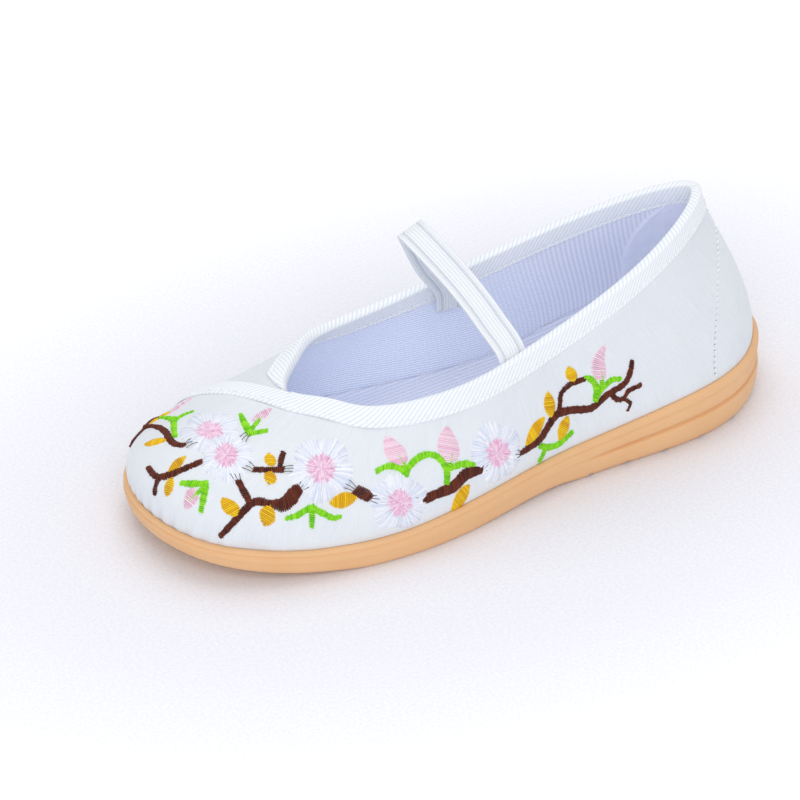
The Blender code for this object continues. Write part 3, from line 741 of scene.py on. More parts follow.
def collar_run(first, last_turn):
    """Turns evenly along the collar, with the way gone at each."""
    fine = np.linspace(first, last_turn, 3000)
    edge = wall_frame(fine, 1.0, wall)[0]
    way = way_along(edge)
    gone = np.linspace(0, way[-1], int(way[-1] / TAPE_STEP))
    return np.interp(gone, way, fine), gone


def tape_height(share, width, lift, ribs):
    """Outer face of a leg of tape above the cloth: drawn down at its row of stitches and thin at its edge."""
    edge = ease((1 - share) * TAPE_BEVEL)
    row = np.exp(-(((1 - share) * width - TAPE_ROW) / ROW_WIDTH) ** 2)
    lifted = EDGE_LIFT + (lift - EDGE_LIFT) * ease((1 - share) * 2)
    thick = (TAPE - TWILL_RELIEF) * (TAPE_THIN + (1 - TAPE_THIN) * edge)
    return lifted + thick + ribs * edge - ROW_DRAWS * row


def collar_frame(turns):
    """Places on the collar, their outward normals, and the direction square down the wall from each."""
    point, normal, round_foot, up_wall = wall_frame(turns, 1.0, wall)
    along = unit(round_foot)
    down = -unit(up_wall - np.sum(up_wall * along, axis=-1, keepdims=True) * along)
    return point, normal, down


def collar_tape(turns, gone, outside):
    """Sections of tape folded over the collar, as closed rows, with each row's place across the tape."""
    point, normal, down = collar_frame(turns)
    rows, places = [], []

    def add(points, place):
        rows.append(points)
        places.append(np.broadcast_to(place, gone.shape))

    def leg(distance, offset):
        at_turn, at_height = slide(turns, np.ones_like(turns), down, distance)
        spot, outward, _, _ = wall_frame(at_turn, at_height, wall)
        return spot + np.asarray(offset).reshape(-1, 1) * outward

    for share in np.linspace(1, 0, OUTER_SPANS + 1):
        place = -share * outside
        add(leg(share * outside, tape_height(share, TAPE_OUTSIDE, TAPE_LIFT, twill(gone, place))), place)
    for share in np.linspace(0, 1, FOLD_SPANS + 1)[1:-1]:
        place = share * FOLD_WAY
        thick = TAPE_LIFT + TAPE - TWILL_RELIEF + twill(gone, place)
        sideways = math.cos(share * math.pi) * (CLOTH / 2 + thick)
        rise = math.sin(share * math.pi) * thick
        add(point + (sideways - CLOTH / 2)[:, None] * normal - rise[:, None] * down, place)
    for share in np.linspace(0, 1, LINING_SPANS + 1):
        place = FOLD_WAY + share * TAPE_INSIDE
        height = tape_height(share, TAPE_INSIDE, TAPE_LIFT, twill(gone, place))
        add(leg(share * TAPE_INSIDE, -CLOTH - height), place)
    for distance, depth in ((TAPE_INSIDE, EDGE_LIFT), (TAPE_INSIDE / 2, TAPE_LIFT), (0.0, TAPE_LIFT)):
        add(leg(distance, -CLOTH - depth), 0.0)
    add(point - CLOTH / 2 * normal - TAPE_LIFT * down, 0.0)
    for distance, depth in ((0.0, TAPE_LIFT), (outside / 2, TAPE_LIFT), (outside, EDGE_LIFT)):
        add(leg(distance, depth), 0.0)
    return np.array(rows), np.array(places)


def lap_tape(start_gone):
    """Sections of the tape over the vamp, lying flat from its folded edge towards the toe."""
    tiny = 1e-3
    fine = 1 - (1 - LAP_FOOT) * np.linspace(0, 1, 2000) ** LAP_CROWDING
    line = wall_frame(lap_line(fine), fine)[0]
    way = way_along(line)
    gone = np.linspace(0, way[-1], int(way[-1] / TAPE_STEP))
    heights = np.interp(gone, way, fine)
    turns = lap_line(heights)
    point, normal, _, _ = wall_frame(turns, heights)
    along = wall_frame(lap_line(heights - tiny), heights - tiny)[0] - point
    sideways = unit(np.cross(along, normal))
    toe_wards = np.where(sideways[:, 1:2] < 0, sideways, -sideways)
    gone = gone + start_gone
    top, bottom, places = [], [], []
    for share in np.linspace(1, 0, OUTER_SPANS + 1):
        at_turn, at_height = slide(turns, heights, toe_wards, share * TAPE_OUTSIDE)
        spot, outward, _, _ = wall_frame(at_turn, np.maximum(at_height, LAP_FOOT))
        place = -share * TAPE_OUTSIDE
        folded = FOLDED_THIN + (1 - FOLDED_THIN) * ease(share * FOLDED_BEVEL)
        height = folded * tape_height(share, TAPE_OUTSIDE, LAP_LIFT, twill(gone, place))
        top.append(spot + height[:, None] * outward)
        bottom.append(spot + EDGE_LIFT * outward)
        places.append(np.full_like(gone, place))
    return np.array(top + bottom[::-1]), np.array(places + places[::-1]), gone


def tape_patches(rows, places, gone):
    """Closed loft of sections with flat ends, its UV along and across the tape in millimetres."""
    closed = np.concatenate([rows, rows[:1]])
    across_tape = np.concatenate([places, places[:1]])
    uv = np.stack(np.broadcast_arrays(gone[None, :], across_tape), axis=-1)
    patches = [(closed, uv, 0)]
    for column in (0, -1):
        ring = closed[:, column]
        count = (len(ring) - 1) // 2
        pairs = np.stack([ring[:count + 1], ring[::-1][:count + 1]], axis=1)
        patches.append((pairs, blank_uv(pairs), 0))
    return patches


def twill_tape():
    """Close white twill with fine threads along its ribs and shade between them."""
    material, paint, shader = new_finish("twill_tape", Specular_IOR_Level=0.25, Sheen_Weight=0.3,
                                         Emission_Strength=TWILL_GLOW)
    place, along, sideways = cloth_place(paint)
    rib = 0.5 + 0.5 * paint.math("COSINE", (along + sideways) * (2 * math.pi / (TWILL_PITCH * math.sqrt(2))))
    threads = cloudy(paint, place, 2.2, 2.0)
    between = paint.math("POWER", 1 - rib, 2.0)
    shade = 0.75 * between + 0.25 * threads
    tint = mixed(paint, shade, colour(*TWILL), colour(*TWILL_SHADE))
    glowing(shader, tint)
    (0.62 + 0.25 * threads).feed(shader, "Roughness")
    raised(paint, shader, threads, 0.00006)
    return material


def lap_clearance(turn):
    """Distance down the wall from the collar to the lapped edge, less a gap."""
    heights = np.linspace(1, 0, 240)
    line = wall_frame(lap_line(heights), heights)[0]
    start = wall_frame(turn, 1.0)[0]
    return np.linalg.norm(line[None] - start[:, None], axis=2).min(axis=1) - 2 * GAP


tape_finish = twill_tape()
lateral_turns, lateral_gone = collar_run(TAPE_END, LAP_TURN)
lateral_rows, lateral_places = collar_tape(lateral_turns, lateral_gone, TAPE_OUTSIDE)
vamp_rows, vamp_places, vamp_gone = lap_tape(lateral_gone[-1])
binding_lateral = solid_from("twill_binding_lateral", tape_patches(lateral_rows, lateral_places, lateral_gone)
                             + tape_patches(vamp_rows, vamp_places, vamp_gone), [tape_finish])
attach(binding_lateral, "root")
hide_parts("binding_lateral")

fine_turns = np.linspace(LAP_TURN, 0.6, 800)
first_medial = fine_turns[np.argmax(lap_clearance(fine_turns) > TAPE / 2)]
medial_turns, medial_gone = collar_run(first_medial, 1 - TAPE_END)
medial_outside = np.minimum(lap_clearance(medial_turns), TAPE_OUTSIDE)
medial_rows, medial_places = collar_tape(medial_turns, medial_gone, medial_outside)
binding_medial = solid_from("twill_binding_medial", tape_patches(medial_rows, medial_places, medial_gone),
                            [tape_finish])
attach(binding_medial, "root")
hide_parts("binding_medial")

# Heel grip: a soft brushed patch laid over the lining at the back of the heel, from below the tape downwards.
# Its front edges curve forward towards the sole, and each has a low turned rim.
GRIP = 0.55
GRIP_EDGE = 0.15                          # its thickness at the very edge, and how far its back sinks in
GRIP_SUNK = 0.2
GRIP_CLOTH = (227, 230, 241)
GRIP_SHADE = (202, 207, 229)
GRIP_LOW, GRIP_HIGH = 0.12, 0.87          # heights on the wall
GRIP_TOP, GRIP_SPREAD = 0.034, 0.050      # half its width in turns at the top, and what it gains below
GRIP_CURVE = 0.2                          # height over which most of that is gained
GRIP_RIM = 0.35                           # how far its turned edge stands above the patch
GRIP_BEVEL = 40                           # its edge rises within a 40th of half its width
GRIP_ROWS, GRIP_COLUMNS = 60, 81
GRIP_WAY = 60                             # millimetres up the wall to a height of 1, for its UV


def soft_patch():
    """Brushed cloth, faintly clouded, with the lining's painted glow for daylight let through it."""
    material, paint, shader = new_finish("grip_cloth", Specular_IOR_Level=0.2, Sheen_Weight=0.3,
                                         Emission_Strength=LINING_GLOW)
    place = paint.node("TexCoord", output=3)
    nap = 0.6 * cloudy(paint, place, 220.0) + 0.4 * cloudy(paint, place, 1400.0)
    tint = mixed(paint, nap, colour(*GRIP_CLOTH), colour(*GRIP_SHADE))
    glowing(shader, tint)
    (0.7 + 0.2 * nap).feed(shader, "Roughness")
    raised(paint, shader, nap, 0.00015)
    return material


def make_grip():
    """The patch lies on the lining from one side of the heel to the other."""
    heights = np.linspace(GRIP_LOW, GRIP_HIGH, GRIP_ROWS)
    half = GRIP_TOP + GRIP_SPREAD * (1 - np.exp((heights - GRIP_HIGH) / GRIP_CURVE))
    shares = np.sin(np.linspace(-math.pi / 2, math.pi / 2, GRIP_COLUMNS))
    rows = []
    for share in shares:
        point, outward, _, _ = wall_frame(share * half, heights, wall)
        inside = 1 - abs(share)
        bevel = ease(inside * GRIP_BEVEL)
        rim = bevel * ease(1.6 - inside * 12)
        thick = GRIP_EDGE + (GRIP - GRIP_EDGE) * bevel + GRIP_RIM * rim
        rows.append(point - (CLOTH + thick) * outward)
    for share in shares[::-1]:
        point, outward, _, _ = wall_frame(share * half, heights, wall)
        rows.append(point - (CLOTH - GRIP_SUNK) * outward)
    places = np.zeros((len(rows), len(heights)))
    return solid_from("heel_grip", tape_patches(np.array(rows), places, heights * GRIP_WAY), [soft_patch()])


grip = make_grip()
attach(grip, "root")

# Strap: ribbed white elastic across the instep, sewn to the lining on both sides.
# It stands up in a fold near the medial side, where it is longer than the gap it spans.
STRAP_WIDTH = 10.5
STRAP_THICKNESS = 1.3
STRAP_TAIL = 12.0
STRAP_SPAN = {
    "medial_rise":  (-24.6, 3.4, 63.5),
    "fold_back":    (-22.2, -4.5, 80.2),
    "fold_front":   (-17.2, -5.5, 81.8),
    "lateral_fall": (2.0, 1.5, 70.5),
    "lateral_edge": (15.5, 5.5, 61.0),
}
STRAP_TILT = 0.42
STRAP_LATERAL_Y = 8.0
STRAP_MEDIAL_Y = 13.0
LATERAL_SEWN = (1.0, 0.5, 0.0)   # places on each tail, by shares of its length below the collar
MEDIAL_SEWN = (1.0, 0.6)
STRAP_SECTIONS = 260
STRAP_POINTS = 110       # points across each face
STRAP_CORDS = 9          # ribs across the elastic, and how far they stand out
CORD_RELIEF = 0.14
STRAP_GROOVES = (3.35, 2.75)  # deeper grooves on each side, from the middle, and half their width
GROOVE_WIDTH = 0.16
STRAP_ROUNDING = 0.5     # of its edges
KNIT_PITCH = 0.8
ELASTIC = (245, 248, 250)
ELASTIC_SHADE = (196, 204, 216)


def strap_route():
    """The strap's middle line and the direction across it, from the medial tail to the lateral one."""
    inset = CLOTH + TAPE + 3 * GAP + STRAP_THICKNESS / 2
    heelwards = np.array([0.0, 1.0, STRAP_TILT])

    def tail(turn, sewn):
        places = []
        for share in sewn:
            below = share * STRAP_TAIL
            at_turn, at_height = slide(np.float64(turn), np.float64(1.0), np.array([0, 0, -1.0]), below)
            spot, outward, round_foot, _ = wall_frame(at_turn, at_height)
            places.append(np.concatenate([spot - inset * outward, unit(round_foot) * np.sign(round_foot[1])]))
        return places

    fine = np.linspace(0, 1, 2001)
    edge_y = last_at(fine)[:, 3]
    lateral = fine < LAP_TURN
    lateral_turn = fine[lateral][np.argmin(abs(edge_y[lateral] - STRAP_LATERAL_Y))]
    medial_turn = fine[~lateral][np.argmin(abs(edge_y[~lateral] - STRAP_MEDIAL_Y))]
    span = [np.concatenate([place, heelwards]) for place in STRAP_SPAN.values()]
    route = np.array(tail(medial_turn, MEDIAL_SEWN) + span + tail(lateral_turn, LATERAL_SEWN)[::-1])
    steps = way_along(route[:, :3])
    gone = np.linspace(0, steps[-1], STRAP_SECTIONS)
    track = np.column_stack([steady_curve(steps, route[:, axis])(gone) for axis in range(6)])
    along = unit(np.gradient(track[:, :3], axis=0))
    sideways = unit(track[:, 3:] - along * np.sum(along * track[:, 3:], axis=1, keepdims=True))
    return track[:, :3], along, sideways, gone


def strap_shade(across_strap):
    """Depth of the grooves across the elastic, from 0 to 1, by millimetres from its middle."""
    cords = 0.5 - 0.5 * np.cos(across_strap / STRAP_WIDTH * 2 * math.pi * STRAP_CORDS)
    grooves = sum(np.exp(-((abs(across_strap) - place) / GROOVE_WIDTH) ** 2) for place in STRAP_GROOVES)
    return np.clip(0.4 * cords ** 3 + 0.9 * grooves, 0, 1)


def ribbed_elastic():
    """Knitted elastic: fine cross threads over its cords, with shade in the grooves."""
    material, paint, shader = new_finish("ribbed_elastic", Specular_IOR_Level=0.25, Sheen_Weight=0.25)
    _, along, depth = cloth_place(paint)
    knit = 0.5 + 0.5 * paint.math("SINE", along * (2 * math.pi / KNIT_PITCH))
    fuzz = cloudy(paint, paint.node("TexCoord", output=3), 1500.0)
    shade = 0.8 * depth + 0.1 * knit + 0.1 * fuzz
    mixed(paint, shade, colour(*ELASTIC), colour(*ELASTIC_SHADE)).feed(shader, "Base Color")
    (0.66 + 0.2 * fuzz).feed(shader, "Roughness")
    raised(paint, shader, 0.5 * knit + 0.5 * fuzz, 0.00006)
    return material


def make_strap():
    """Elastic with cords along it and grooves near each edge, on both faces."""
    path, along, sideways, gone = strap_route()
    thick = np.cross(along, sideways)
    across_strap = np.linspace(-1, 1, STRAP_POINTS) * STRAP_WIDTH / 2
    depth = strap_shade(across_strap)
    rounding = (abs(across_strap) - STRAP_WIDTH / 2 + STRAP_ROUNDING) / STRAP_ROUNDING
    past_edge = np.clip(rounding, 0, 0.98)
    half_thick = (STRAP_THICKNESS / 2 - 2 * CORD_RELIEF * depth) * np.sqrt(1 - past_edge ** 2)
    upper_face = [*zip(across_strap, half_thick, depth)]
    outline = upper_face + [(side, -up, shade) for side, up, shade in upper_face[::-1]]
    rows = np.array([path + side * sideways + up * thick for side, up, _ in outline])
    places = np.array([np.full_like(gone, shade) for _, _, shade in outline])
    return solid_from("elastic_strap", tape_patches(rows, places, gone), [ribbed_elastic()])


strap = make_strap()
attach(strap, "root")
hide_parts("strap")

# Embroidery: a blossom branch in silk satin stitch, worked through the lateral panel and round the toe
# before the shoe was made up. Every stitch is a thread laid on the cloth with its ends drawn through, and
# the reverse of the branches, leaves and buds is sewn on the lining as well.
PIXEL = VIEW_DISTANCE / FOCAL_PIXELS      # millimetres to a pixel of the picture, about the shoe
THREAD = 0.34            # half the thickness of a thread
STITCH_STEP = 0.6        # from one satin stitch to the next
UNEVEN = 0.2             # how far a stitch's end may miss the line of its edge
SHOE_PIXEL = (400, 470)  # a pixel well inside the shoe
DRAWN_IN = 0.02          # step towards it from a pixel that misses the cloth
PATH_SLANT = 0.30        # slant of the stitches across a path and a leaf, in half widths
LEAF_SLANT = 0.22
LEAF_ROUNDING = 0.7
BUD_FULLEST = 0.36       # share of the way along a bud where it is widest
BUD_RISE = 0.5           # how far stitches stand off the cloth
GREEN_RISE = 0.75
BRANCH_RISE = 0.7
BLOSSOM_RISE = 0.6
BEHIND_RISE = 0.4
HEART_RISE = 0.12        # more than the petals
RIM_NOTCH = 0.76         # reach of a petal's rim between lobes, and how far a stitch may miss it
RIM_MISS = (-0.035, 0.025)
PETAL_MISS = 0.01        # and sideways, in radians
PETAL_ROOT = (0.2, 0.4)  # where petal stitches start, as shares of the reach
HEART_FROM = (-0.15, 0.05)
HEART_TO = (0.3, 0.74)
HEART_MISS = 0.05
# Along a satin stitch: share of its length, and of its rise off the cloth
SATIN_PROFILE = ((0, -0.5), (0.14, 0.35), (0.5, 1.0), (0.86, 0.35), (1, -0.5))
TURN_REACH = 5           # stitches either side over which a path's turns are evened out
SEED = 7
BROWN = ((54, 12, 2), (120, 48, 22))
YELLOW = ((220, 160, 0), (255, 218, 30))
GREEN = ((100, 200, 0), (168, 242, 40))
PINK = ((238, 188, 212), (255, 236, 245))
HEART = ((232, 164, 206), (255, 240, 250))
WHITE = ((208, 217, 240), (255, 255, 255))
INK = ((30, 20, 30), (78, 64, 76))
SILKS = {"white": WHITE, "pink": PINK, "heart": HEART, "brown": BROWN, "yellow": YELLOW, "green": GREEN,
         "ink": INK}
# Branches by picture pixels along them, each with its width there
BRANCHES = {
    "toe_trunk":    [(184.1, 445.6, 6), (175, 444.1, 6), (169.3, 438.9, 7), (166.4, 433.1, 6.5),
                     (159.7, 427.9, 5.5), (150.2, 426.4, 5), (145.4, 428.5, 5)],
    "toe_fork":     [(201.8, 461.4, 6), (186, 468, 6.5), (171.2, 474.3, 7.5), (159.7, 477.1, 7),
                     (153.5, 474.5, 6), (148.3, 467.6, 5.5)],
    "toe_fork_leg": [(158.5, 478, 5), (155.8, 486, 4.8), (154.5, 494.4, 4.5)],
    "vamp_arm":     [(238.2, 481, 6.5), (243.9, 491.5, 6.5), (249.7, 502, 7)],
    "vamp_trunk":   [(299, 487.5, 12), (291, 498, 15), (282.5, 504.5, 14), (270, 503.5, 8.5),
                     (256, 501.5, 7.5), (245, 509.5, 7), (232, 523.8, 6.5), (220.3, 536.2, 5)],
    "toe_edge":     [(145.4, 428.5, 5), (150, 422.5, 4.5), (154.8, 417, 4)],
    "vamp_bar":     [(254, 469.5, 6), (268, 469.8, 6), (283.4, 469.5, 6)],
    "vamp_spur":    [(279.7, 468, 5), (281, 460, 5), (283.4, 452.6, 4.5)],
    "ball_link":    [(355.6, 489.6, 11), (363, 493.5, 12), (370.5, 497.8, 11)],
    "waist_trunk":  [(422.7, 500.3, 9), (439.3, 492.9, 10), (454.2, 486.2, 13), (465.8, 474.6, 13),
                     (481.6, 469.7, 8)],
    "heel_trunk":   [(520.5, 453.2, 5), (531, 446, 8), (541.1, 437.9, 8.5), (554.9, 416.4, 9),
                     (570.2, 410.3, 8), (591.6, 408, 7.5), (607, 395, 7), (623.8, 384.3, 6.5),
                     (630, 373, 5.5), (632.2, 360.6, 4.5)],
    "heel_loop":    [(559.5, 410.3, 5.5), (560, 402, 5), (561.5, 393, 5), (570.2, 384.3, 5.5),
                     (584.8, 378.9, 5)],
    "heel_twig":    [(611.5, 395, 4.5), (617.7, 399.6, 5), (624, 398, 5), (628.4, 391, 5), (640.6, 385, 4.5)],
    "heel_hook":    [(624.5, 398.8, 4.5), (629.9, 402.7, 4), (629.5, 406.5, 3), (627.6, 410.3, 1.5)],
}
GREENS = {
    "toe_left":     [(160.7, 417.8, 2), (167, 418, 4.5), (174, 420.5, 6)],
    "toe_right":    [(193.2, 411.6, 2), (183, 415.5, 4.5), (174, 421, 6)],
    "toe_stem":     [(174, 418, 6), (174, 428, 5.5), (175, 437, 5)],
    "vamp_left":    [(240.8, 414.5, 4), (244, 422, 6), (250, 433, 8)],
    "vamp_right":   [(267.2, 430.6, 5), (259, 432, 5.5), (249, 434, 7)],
    "vamp_middle":  [(260, 419, 3), (255, 425, 4), (249, 432, 6)],
    "corner_top":   [(181.3, 482.9, 5), (193, 483.8, 7), (206.6, 483.8, 7)],
    "corner_side":  [(205.7, 482.9, 7), (204, 495, 7), (200.9, 511.6, 4)],
    "corner_mid":   [(204, 487, 4), (198, 492.5, 4), (189.4, 501, 3.5)],
    "spray_left":   [(285.6, 518.6, 3.5), (297, 515.5, 5.5), (306, 510, 6), (313.5, 507.6, 6.5)],
    "spray_right":  [(312, 507.6, 6.5), (324.9, 514.4, 6), (333.2, 518, 5.5), (340.6, 516.9, 4)],
    "spray_stem":   [(312.5, 510, 5), (312, 518, 5), (311.6, 527.4, 4)],
    "arc_leaf":     [(376.3, 471.3, 4), (387.9, 466, 6), (399.5, 468, 6), (406, 474, 5.5)],
    "arc":          [(405.3, 476.3, 5), (409.5, 466.3, 6), (419.4, 457.2, 6), (431, 454.4, 6),
                     (441, 459.7, 6), (446.8, 471.3, 6), (446.8, 484, 5.5)],
    "arc_tail":     [(447.6, 469.7, 6), (457.6, 465.2, 6.5), (466, 463.8, 6), (474, 464.7, 4)],
    "arc_prong":    [(397.8, 454.7, 3), (401.5, 461, 4), (406, 469, 4.5)],
    "arc_prong_2":  [(451.7, 454.7, 3.5), (450.5, 460, 4.5), (449.3, 467, 5)],
    "heel_left":    [(584.5, 377.4, 4.5), (590, 378.6, 6), (596.2, 386.5, 6.5), (595.5, 401, 6)],
    "heel_right":   [(620.7, 378.9, 4), (611.5, 380.2, 6), (602.4, 388.5, 6), (597, 397, 5)],
    "heel_middle":  [(600.8, 371.5, 3.5), (601.8, 380, 4), (601, 389, 4.5)],
    "low_stem":     [(538.8, 461.6, 4.5), (542.5, 455, 5), (545, 448.6, 6)],
    "low_arc":      [(539.6, 445.8, 5), (550.3, 447, 6.5), (561, 442.5, 6), (572.5, 431.7, 5)],
}
# Leaves and buds from base to tip by picture pixels, with their width
LEAVES = {
    "toe_edge":    (150.5, 423.6, 166.8, 410.4, 6),
    "toe_trunk":   (166, 440.6, 144.9, 444.6, 9.5),
    "toe_fork_up": (168.8, 471.8, 185.6, 456.6, 10),
    "toe_fork_dn": (172.2, 478, 166.4, 496, 10),
    "vamp_arm":    (238.4, 517, 222.6, 498.4, 14.5),
    "vamp_trunk":  (270.5, 505.5, 264.3, 525.5, 17),
    "bar_up":      (271.6, 467, 268.9, 453.5, 11),
    "bar_down":    (271.6, 471, 268.7, 484, 13),
    "ball_link":   (356.5, 497.5, 330, 503, 15),
    "waist_trunk": (469, 485, 452.5, 511.5, 17),
    "heel_low":    (525.8, 445, 544.2, 417.5, 14.5),
    "heel_high":   (551, 417, 547.8, 392, 13.5),
    "loop_leaf":   (574, 382, 568.5, 366.8, 12),
    "heel_under":  (568, 416.5, 559, 440, 14),
}
BUDS = {
    "toe_edge":  (170.5, 412.5, 192.3, 397.9, 9),
    "vamp":      (253.5, 421, 271.5, 408.8, 11),
    "corner":    (195.5, 489.5, 185.5, 509, 15),
    "arc_left":  (401.5, 465, 386.4, 436, 21),
    "arc_right": (449.3, 462.5, 447.4, 427, 24),
}
BENT_BUDS = {
    "heel": [(600.5, 378.5, 11), (598.5, 370, 17), (598.8, 361, 14.5), (601.5, 353, 8.5), (604.5, 346.5, 2)],
}
# Blossoms by picture pixel, reach across and up in pixels, and turn of their petals in degrees
BLOSSOMS = {
    "behind": (210, 431, 31, 21, 10),
    "front":  (226.5, 455.5, 27, 27, 40),
    "vamp":   (321, 469, 33, 34, 18),
    "ball":   (399.5, 503, 30, 31, 54),
    "waist":  (497.5, 452.5, 26, 32, 4),
}
PETALS = 5
PETAL_STEP = 0.35        # between petal stitches at the rim
ROOT_WIDTH = 1.8         # across a fan of root threads at the branch, and how far they stand up
ROOT_RISE = 0.85
ROOT_SHARES = (-0.5, 0.05, 0.5)   # places across a fan
ROOT_REACH = (0.25, 0.6)          # towards the blossom's heart, and back over the branch
ROOT_BACK = 0.08
# Dark threads fanned from the end of a branch over a blossom's rim: branch end, blossom, spread in degrees
ROOTS = {
    "front_bar":   (254, 470, 226.5, 455.5, 24),
    "front_arm":   (238.2, 481, 226.5, 455.5, 22),
    "front_trunk": (186, 446, 213.5, 431.5, 24),
    "front_calyx": (249, 434, 226.5, 455.5, 20),
    "vamp_bar":    (285, 469.5, 321, 468.5, 12),
    "vamp_trunk":  (300, 489, 321, 468.5, 34),
    "vamp_link":   (354.5, 489, 321, 468.5, 26),
    "ball_link":   (371.5, 498.5, 399.5, 503, 26),
    "ball_trunk":  (421.5, 501, 399.5, 503, 24),
    "waist_trunk": (482.5, 469.5, 499.5, 450.5, 26),
    "waist_next":  (519.5, 454, 499.5, 450.5, 30),
}

outer_mm = (outer_face[1:] - CENTRE_LINE).reshape(-1, 3)
rows_kept, cols_kept = outer_face.shape[0] - 1, outer_face.shape[1]
grid_index = np.arange(rows_kept * cols_kept).reshape(rows_kept, cols_kept)
cloth_quads = np.stack([grid_index[:-1, :-1], grid_index[1:, :-1], grid_index[1:, 1:], grid_index[:-1, 1:]],
                       axis=-1).reshape(-1, 4)
cloth_tree = BVHTree.FromPolygons(outer_mm.tolist(), cloth_quads.tolist())
rng = np.random.default_rng(SEED)


def cloth_at(x, y):
    """Where the line of sight through a pixel first meets the cloth, in millimetres."""
    while True:
        sight = (-FOCAL_PIXELS * view_back + (x - IMAGE_SIZE / 2) * view_right
                 - (y - IMAGE_SIZE / 2) * view_up).normalized()
        spot, _, _, _ = cloth_tree.ray_cast(eye, sight)
        if spot is not None:
            return np.array(spot)
        # A pixel just past the shoe's outline is drawn in to it
        x += DRAWN_IN * (SHOE_PIXEL[0] - x)
        y += DRAWN_IN * (SHOE_PIXEL[1] - y)


def on_cloth(point):
    """Nearest place on the cloth and its outward normal."""
    spot, normal, _, _ = cloth_tree.find_nearest(Vector(point))
    normal = np.array(normal)
    if normal @ (np.array(spot) - np.array([0.0, spot[1] * 0.8, 20.0])) < 0:
        normal = -normal
    return np.array(spot), normal


def smooth_path(points, step):
    """Even places along a smooth line through points that carry extra columns, with the direction at each."""
    points = np.array(points)
    way = way_along(points[:, :3])
    dense = np.linspace(0, way[-1], max(int(way[-1] / step), 3))
    knots = np.pad(points, ((1, 1), (0, 0)), mode="edge")
    knots[0] = 2 * points[0] - points[1]
    knots[-1] = 2 * points[-1] - points[-2]
    span = np.clip(np.searchsorted(way, dense, side="right") - 1, 0, len(way) - 2)
    share = ((dense - way[span]) / (way[span + 1] - way[span]))[:, None]
    a, b, c, d = knots[span], knots[span + 1], knots[span + 2], knots[span + 3]
    line = 0.5 * (2 * b + (c - a) * share + (2 * a - 5 * b + 4 * c - d) * share ** 2
                  + (3 * b - a - 3 * c + d) * share ** 3)
    return line, unit(np.gradient(line[:, :3], axis=0))


class Needlework:
    """Stitches of one colour: each a start, an end, and how far its middle stands off the cloth."""

    def __init__(self):
        self.stitches = []

    def stitch(self, start, end, rise):
        self.stitches.append((np.asarray(start), np.asarray(end), rise))

    def satin_path(self, points, rise):
        """Close stitches across a path whose points carry a width."""
        line, along = smooth_path(points, STITCH_STEP)
        for index, place in enumerate(line):
            ahead = unit(along[max(index - TURN_REACH, 0):index + TURN_REACH + 1].mean(axis=0))
            spot, normal = on_cloth(place[:3])
            side = unit(np.cross(normal, ahead))
            half = place[3] / 2 + rng.uniform(-UNEVEN, UNEVEN)
            slant = PATH_SLANT * half * ahead
            self.stitch(spot - side * half - slant, spot + side * half + slant, rise)

    def satin_leaf(self, base, tip, width, fullest=0.5, rise=0.5):
        """Close stitches across a leaf, widest at a share of the way from base to tip."""
        base, tip = np.asarray(base), np.asarray(tip)
        length = np.linalg.norm(tip - base)
        for share in np.linspace(0.02, 0.98, max(int(length / STITCH_STEP), 4)):
            spot, normal = on_cloth(base + (tip - base) * share)
            side = unit(np.cross(normal, tip - base))
            bent = share ** (math.log(0.5) / math.log(fullest))
            half = width / 2 * math.sin(math.pi * bent) ** LEAF_ROUNDING + rng.uniform(-UNEVEN, UNEVEN) / 2
            slant = LEAF_SLANT * half * unit(tip - base)
            self.stitch(spot - side * half - slant, spot + side * half + slant, rise)


def widths_on_cloth(pixels):
    """Path points on the cloth from pixels with a width in pixels."""
    return [np.append(cloth_at(x, y), width * PIXEL) for x, y, width in pixels]


def blossom(petals, heart, x, y, reach_across, reach_up, turn, rise):
    """Petals of long stitches from the middle out to a scalloped rim, and a pink heart of uneven spokes."""
    middle = cloth_at(x, y)
    first = cloth_at(x + reach_across / 2, y) - cloth_at(x - reach_across / 2, y)
    second = cloth_at(x, y - reach_up / 2) - cloth_at(x, y + reach_up / 2)
    size = (np.linalg.norm(first) + np.linalg.norm(second)) / 2
    count = int(2 * math.pi * size / PETAL_STEP)

    def at(angle, reach):
        return middle + reach * (math.cos(angle) * first + math.sin(angle) * second)

    for index in range(count):
        angle = 2 * math.pi * index / count
        lobe = ((angle - math.radians(turn)) * PETALS / (2 * math.pi)) % 1.0
        rim = RIM_NOTCH + (1 - RIM_NOTCH) * math.sin(math.pi * lobe) ** 0.5
        rim = rim * (1 + rng.uniform(*RIM_MISS))
        inner = at(angle, rng.uniform(*PETAL_ROOT))
        petals.stitch(inner, at(angle + rng.uniform(-PETAL_MISS, PETAL_MISS), rim), rise)
    for index in range(count * 4 // 5):
        angle = 5 * math.pi * index / count / 2 + rng.uniform(-HEART_MISS, HEART_MISS)
        inner = at(angle + math.pi, rng.uniform(*HEART_FROM))
        heart.stitch(inner, at(angle, rng.uniform(*HEART_TO)), rise + HEART_RISE)


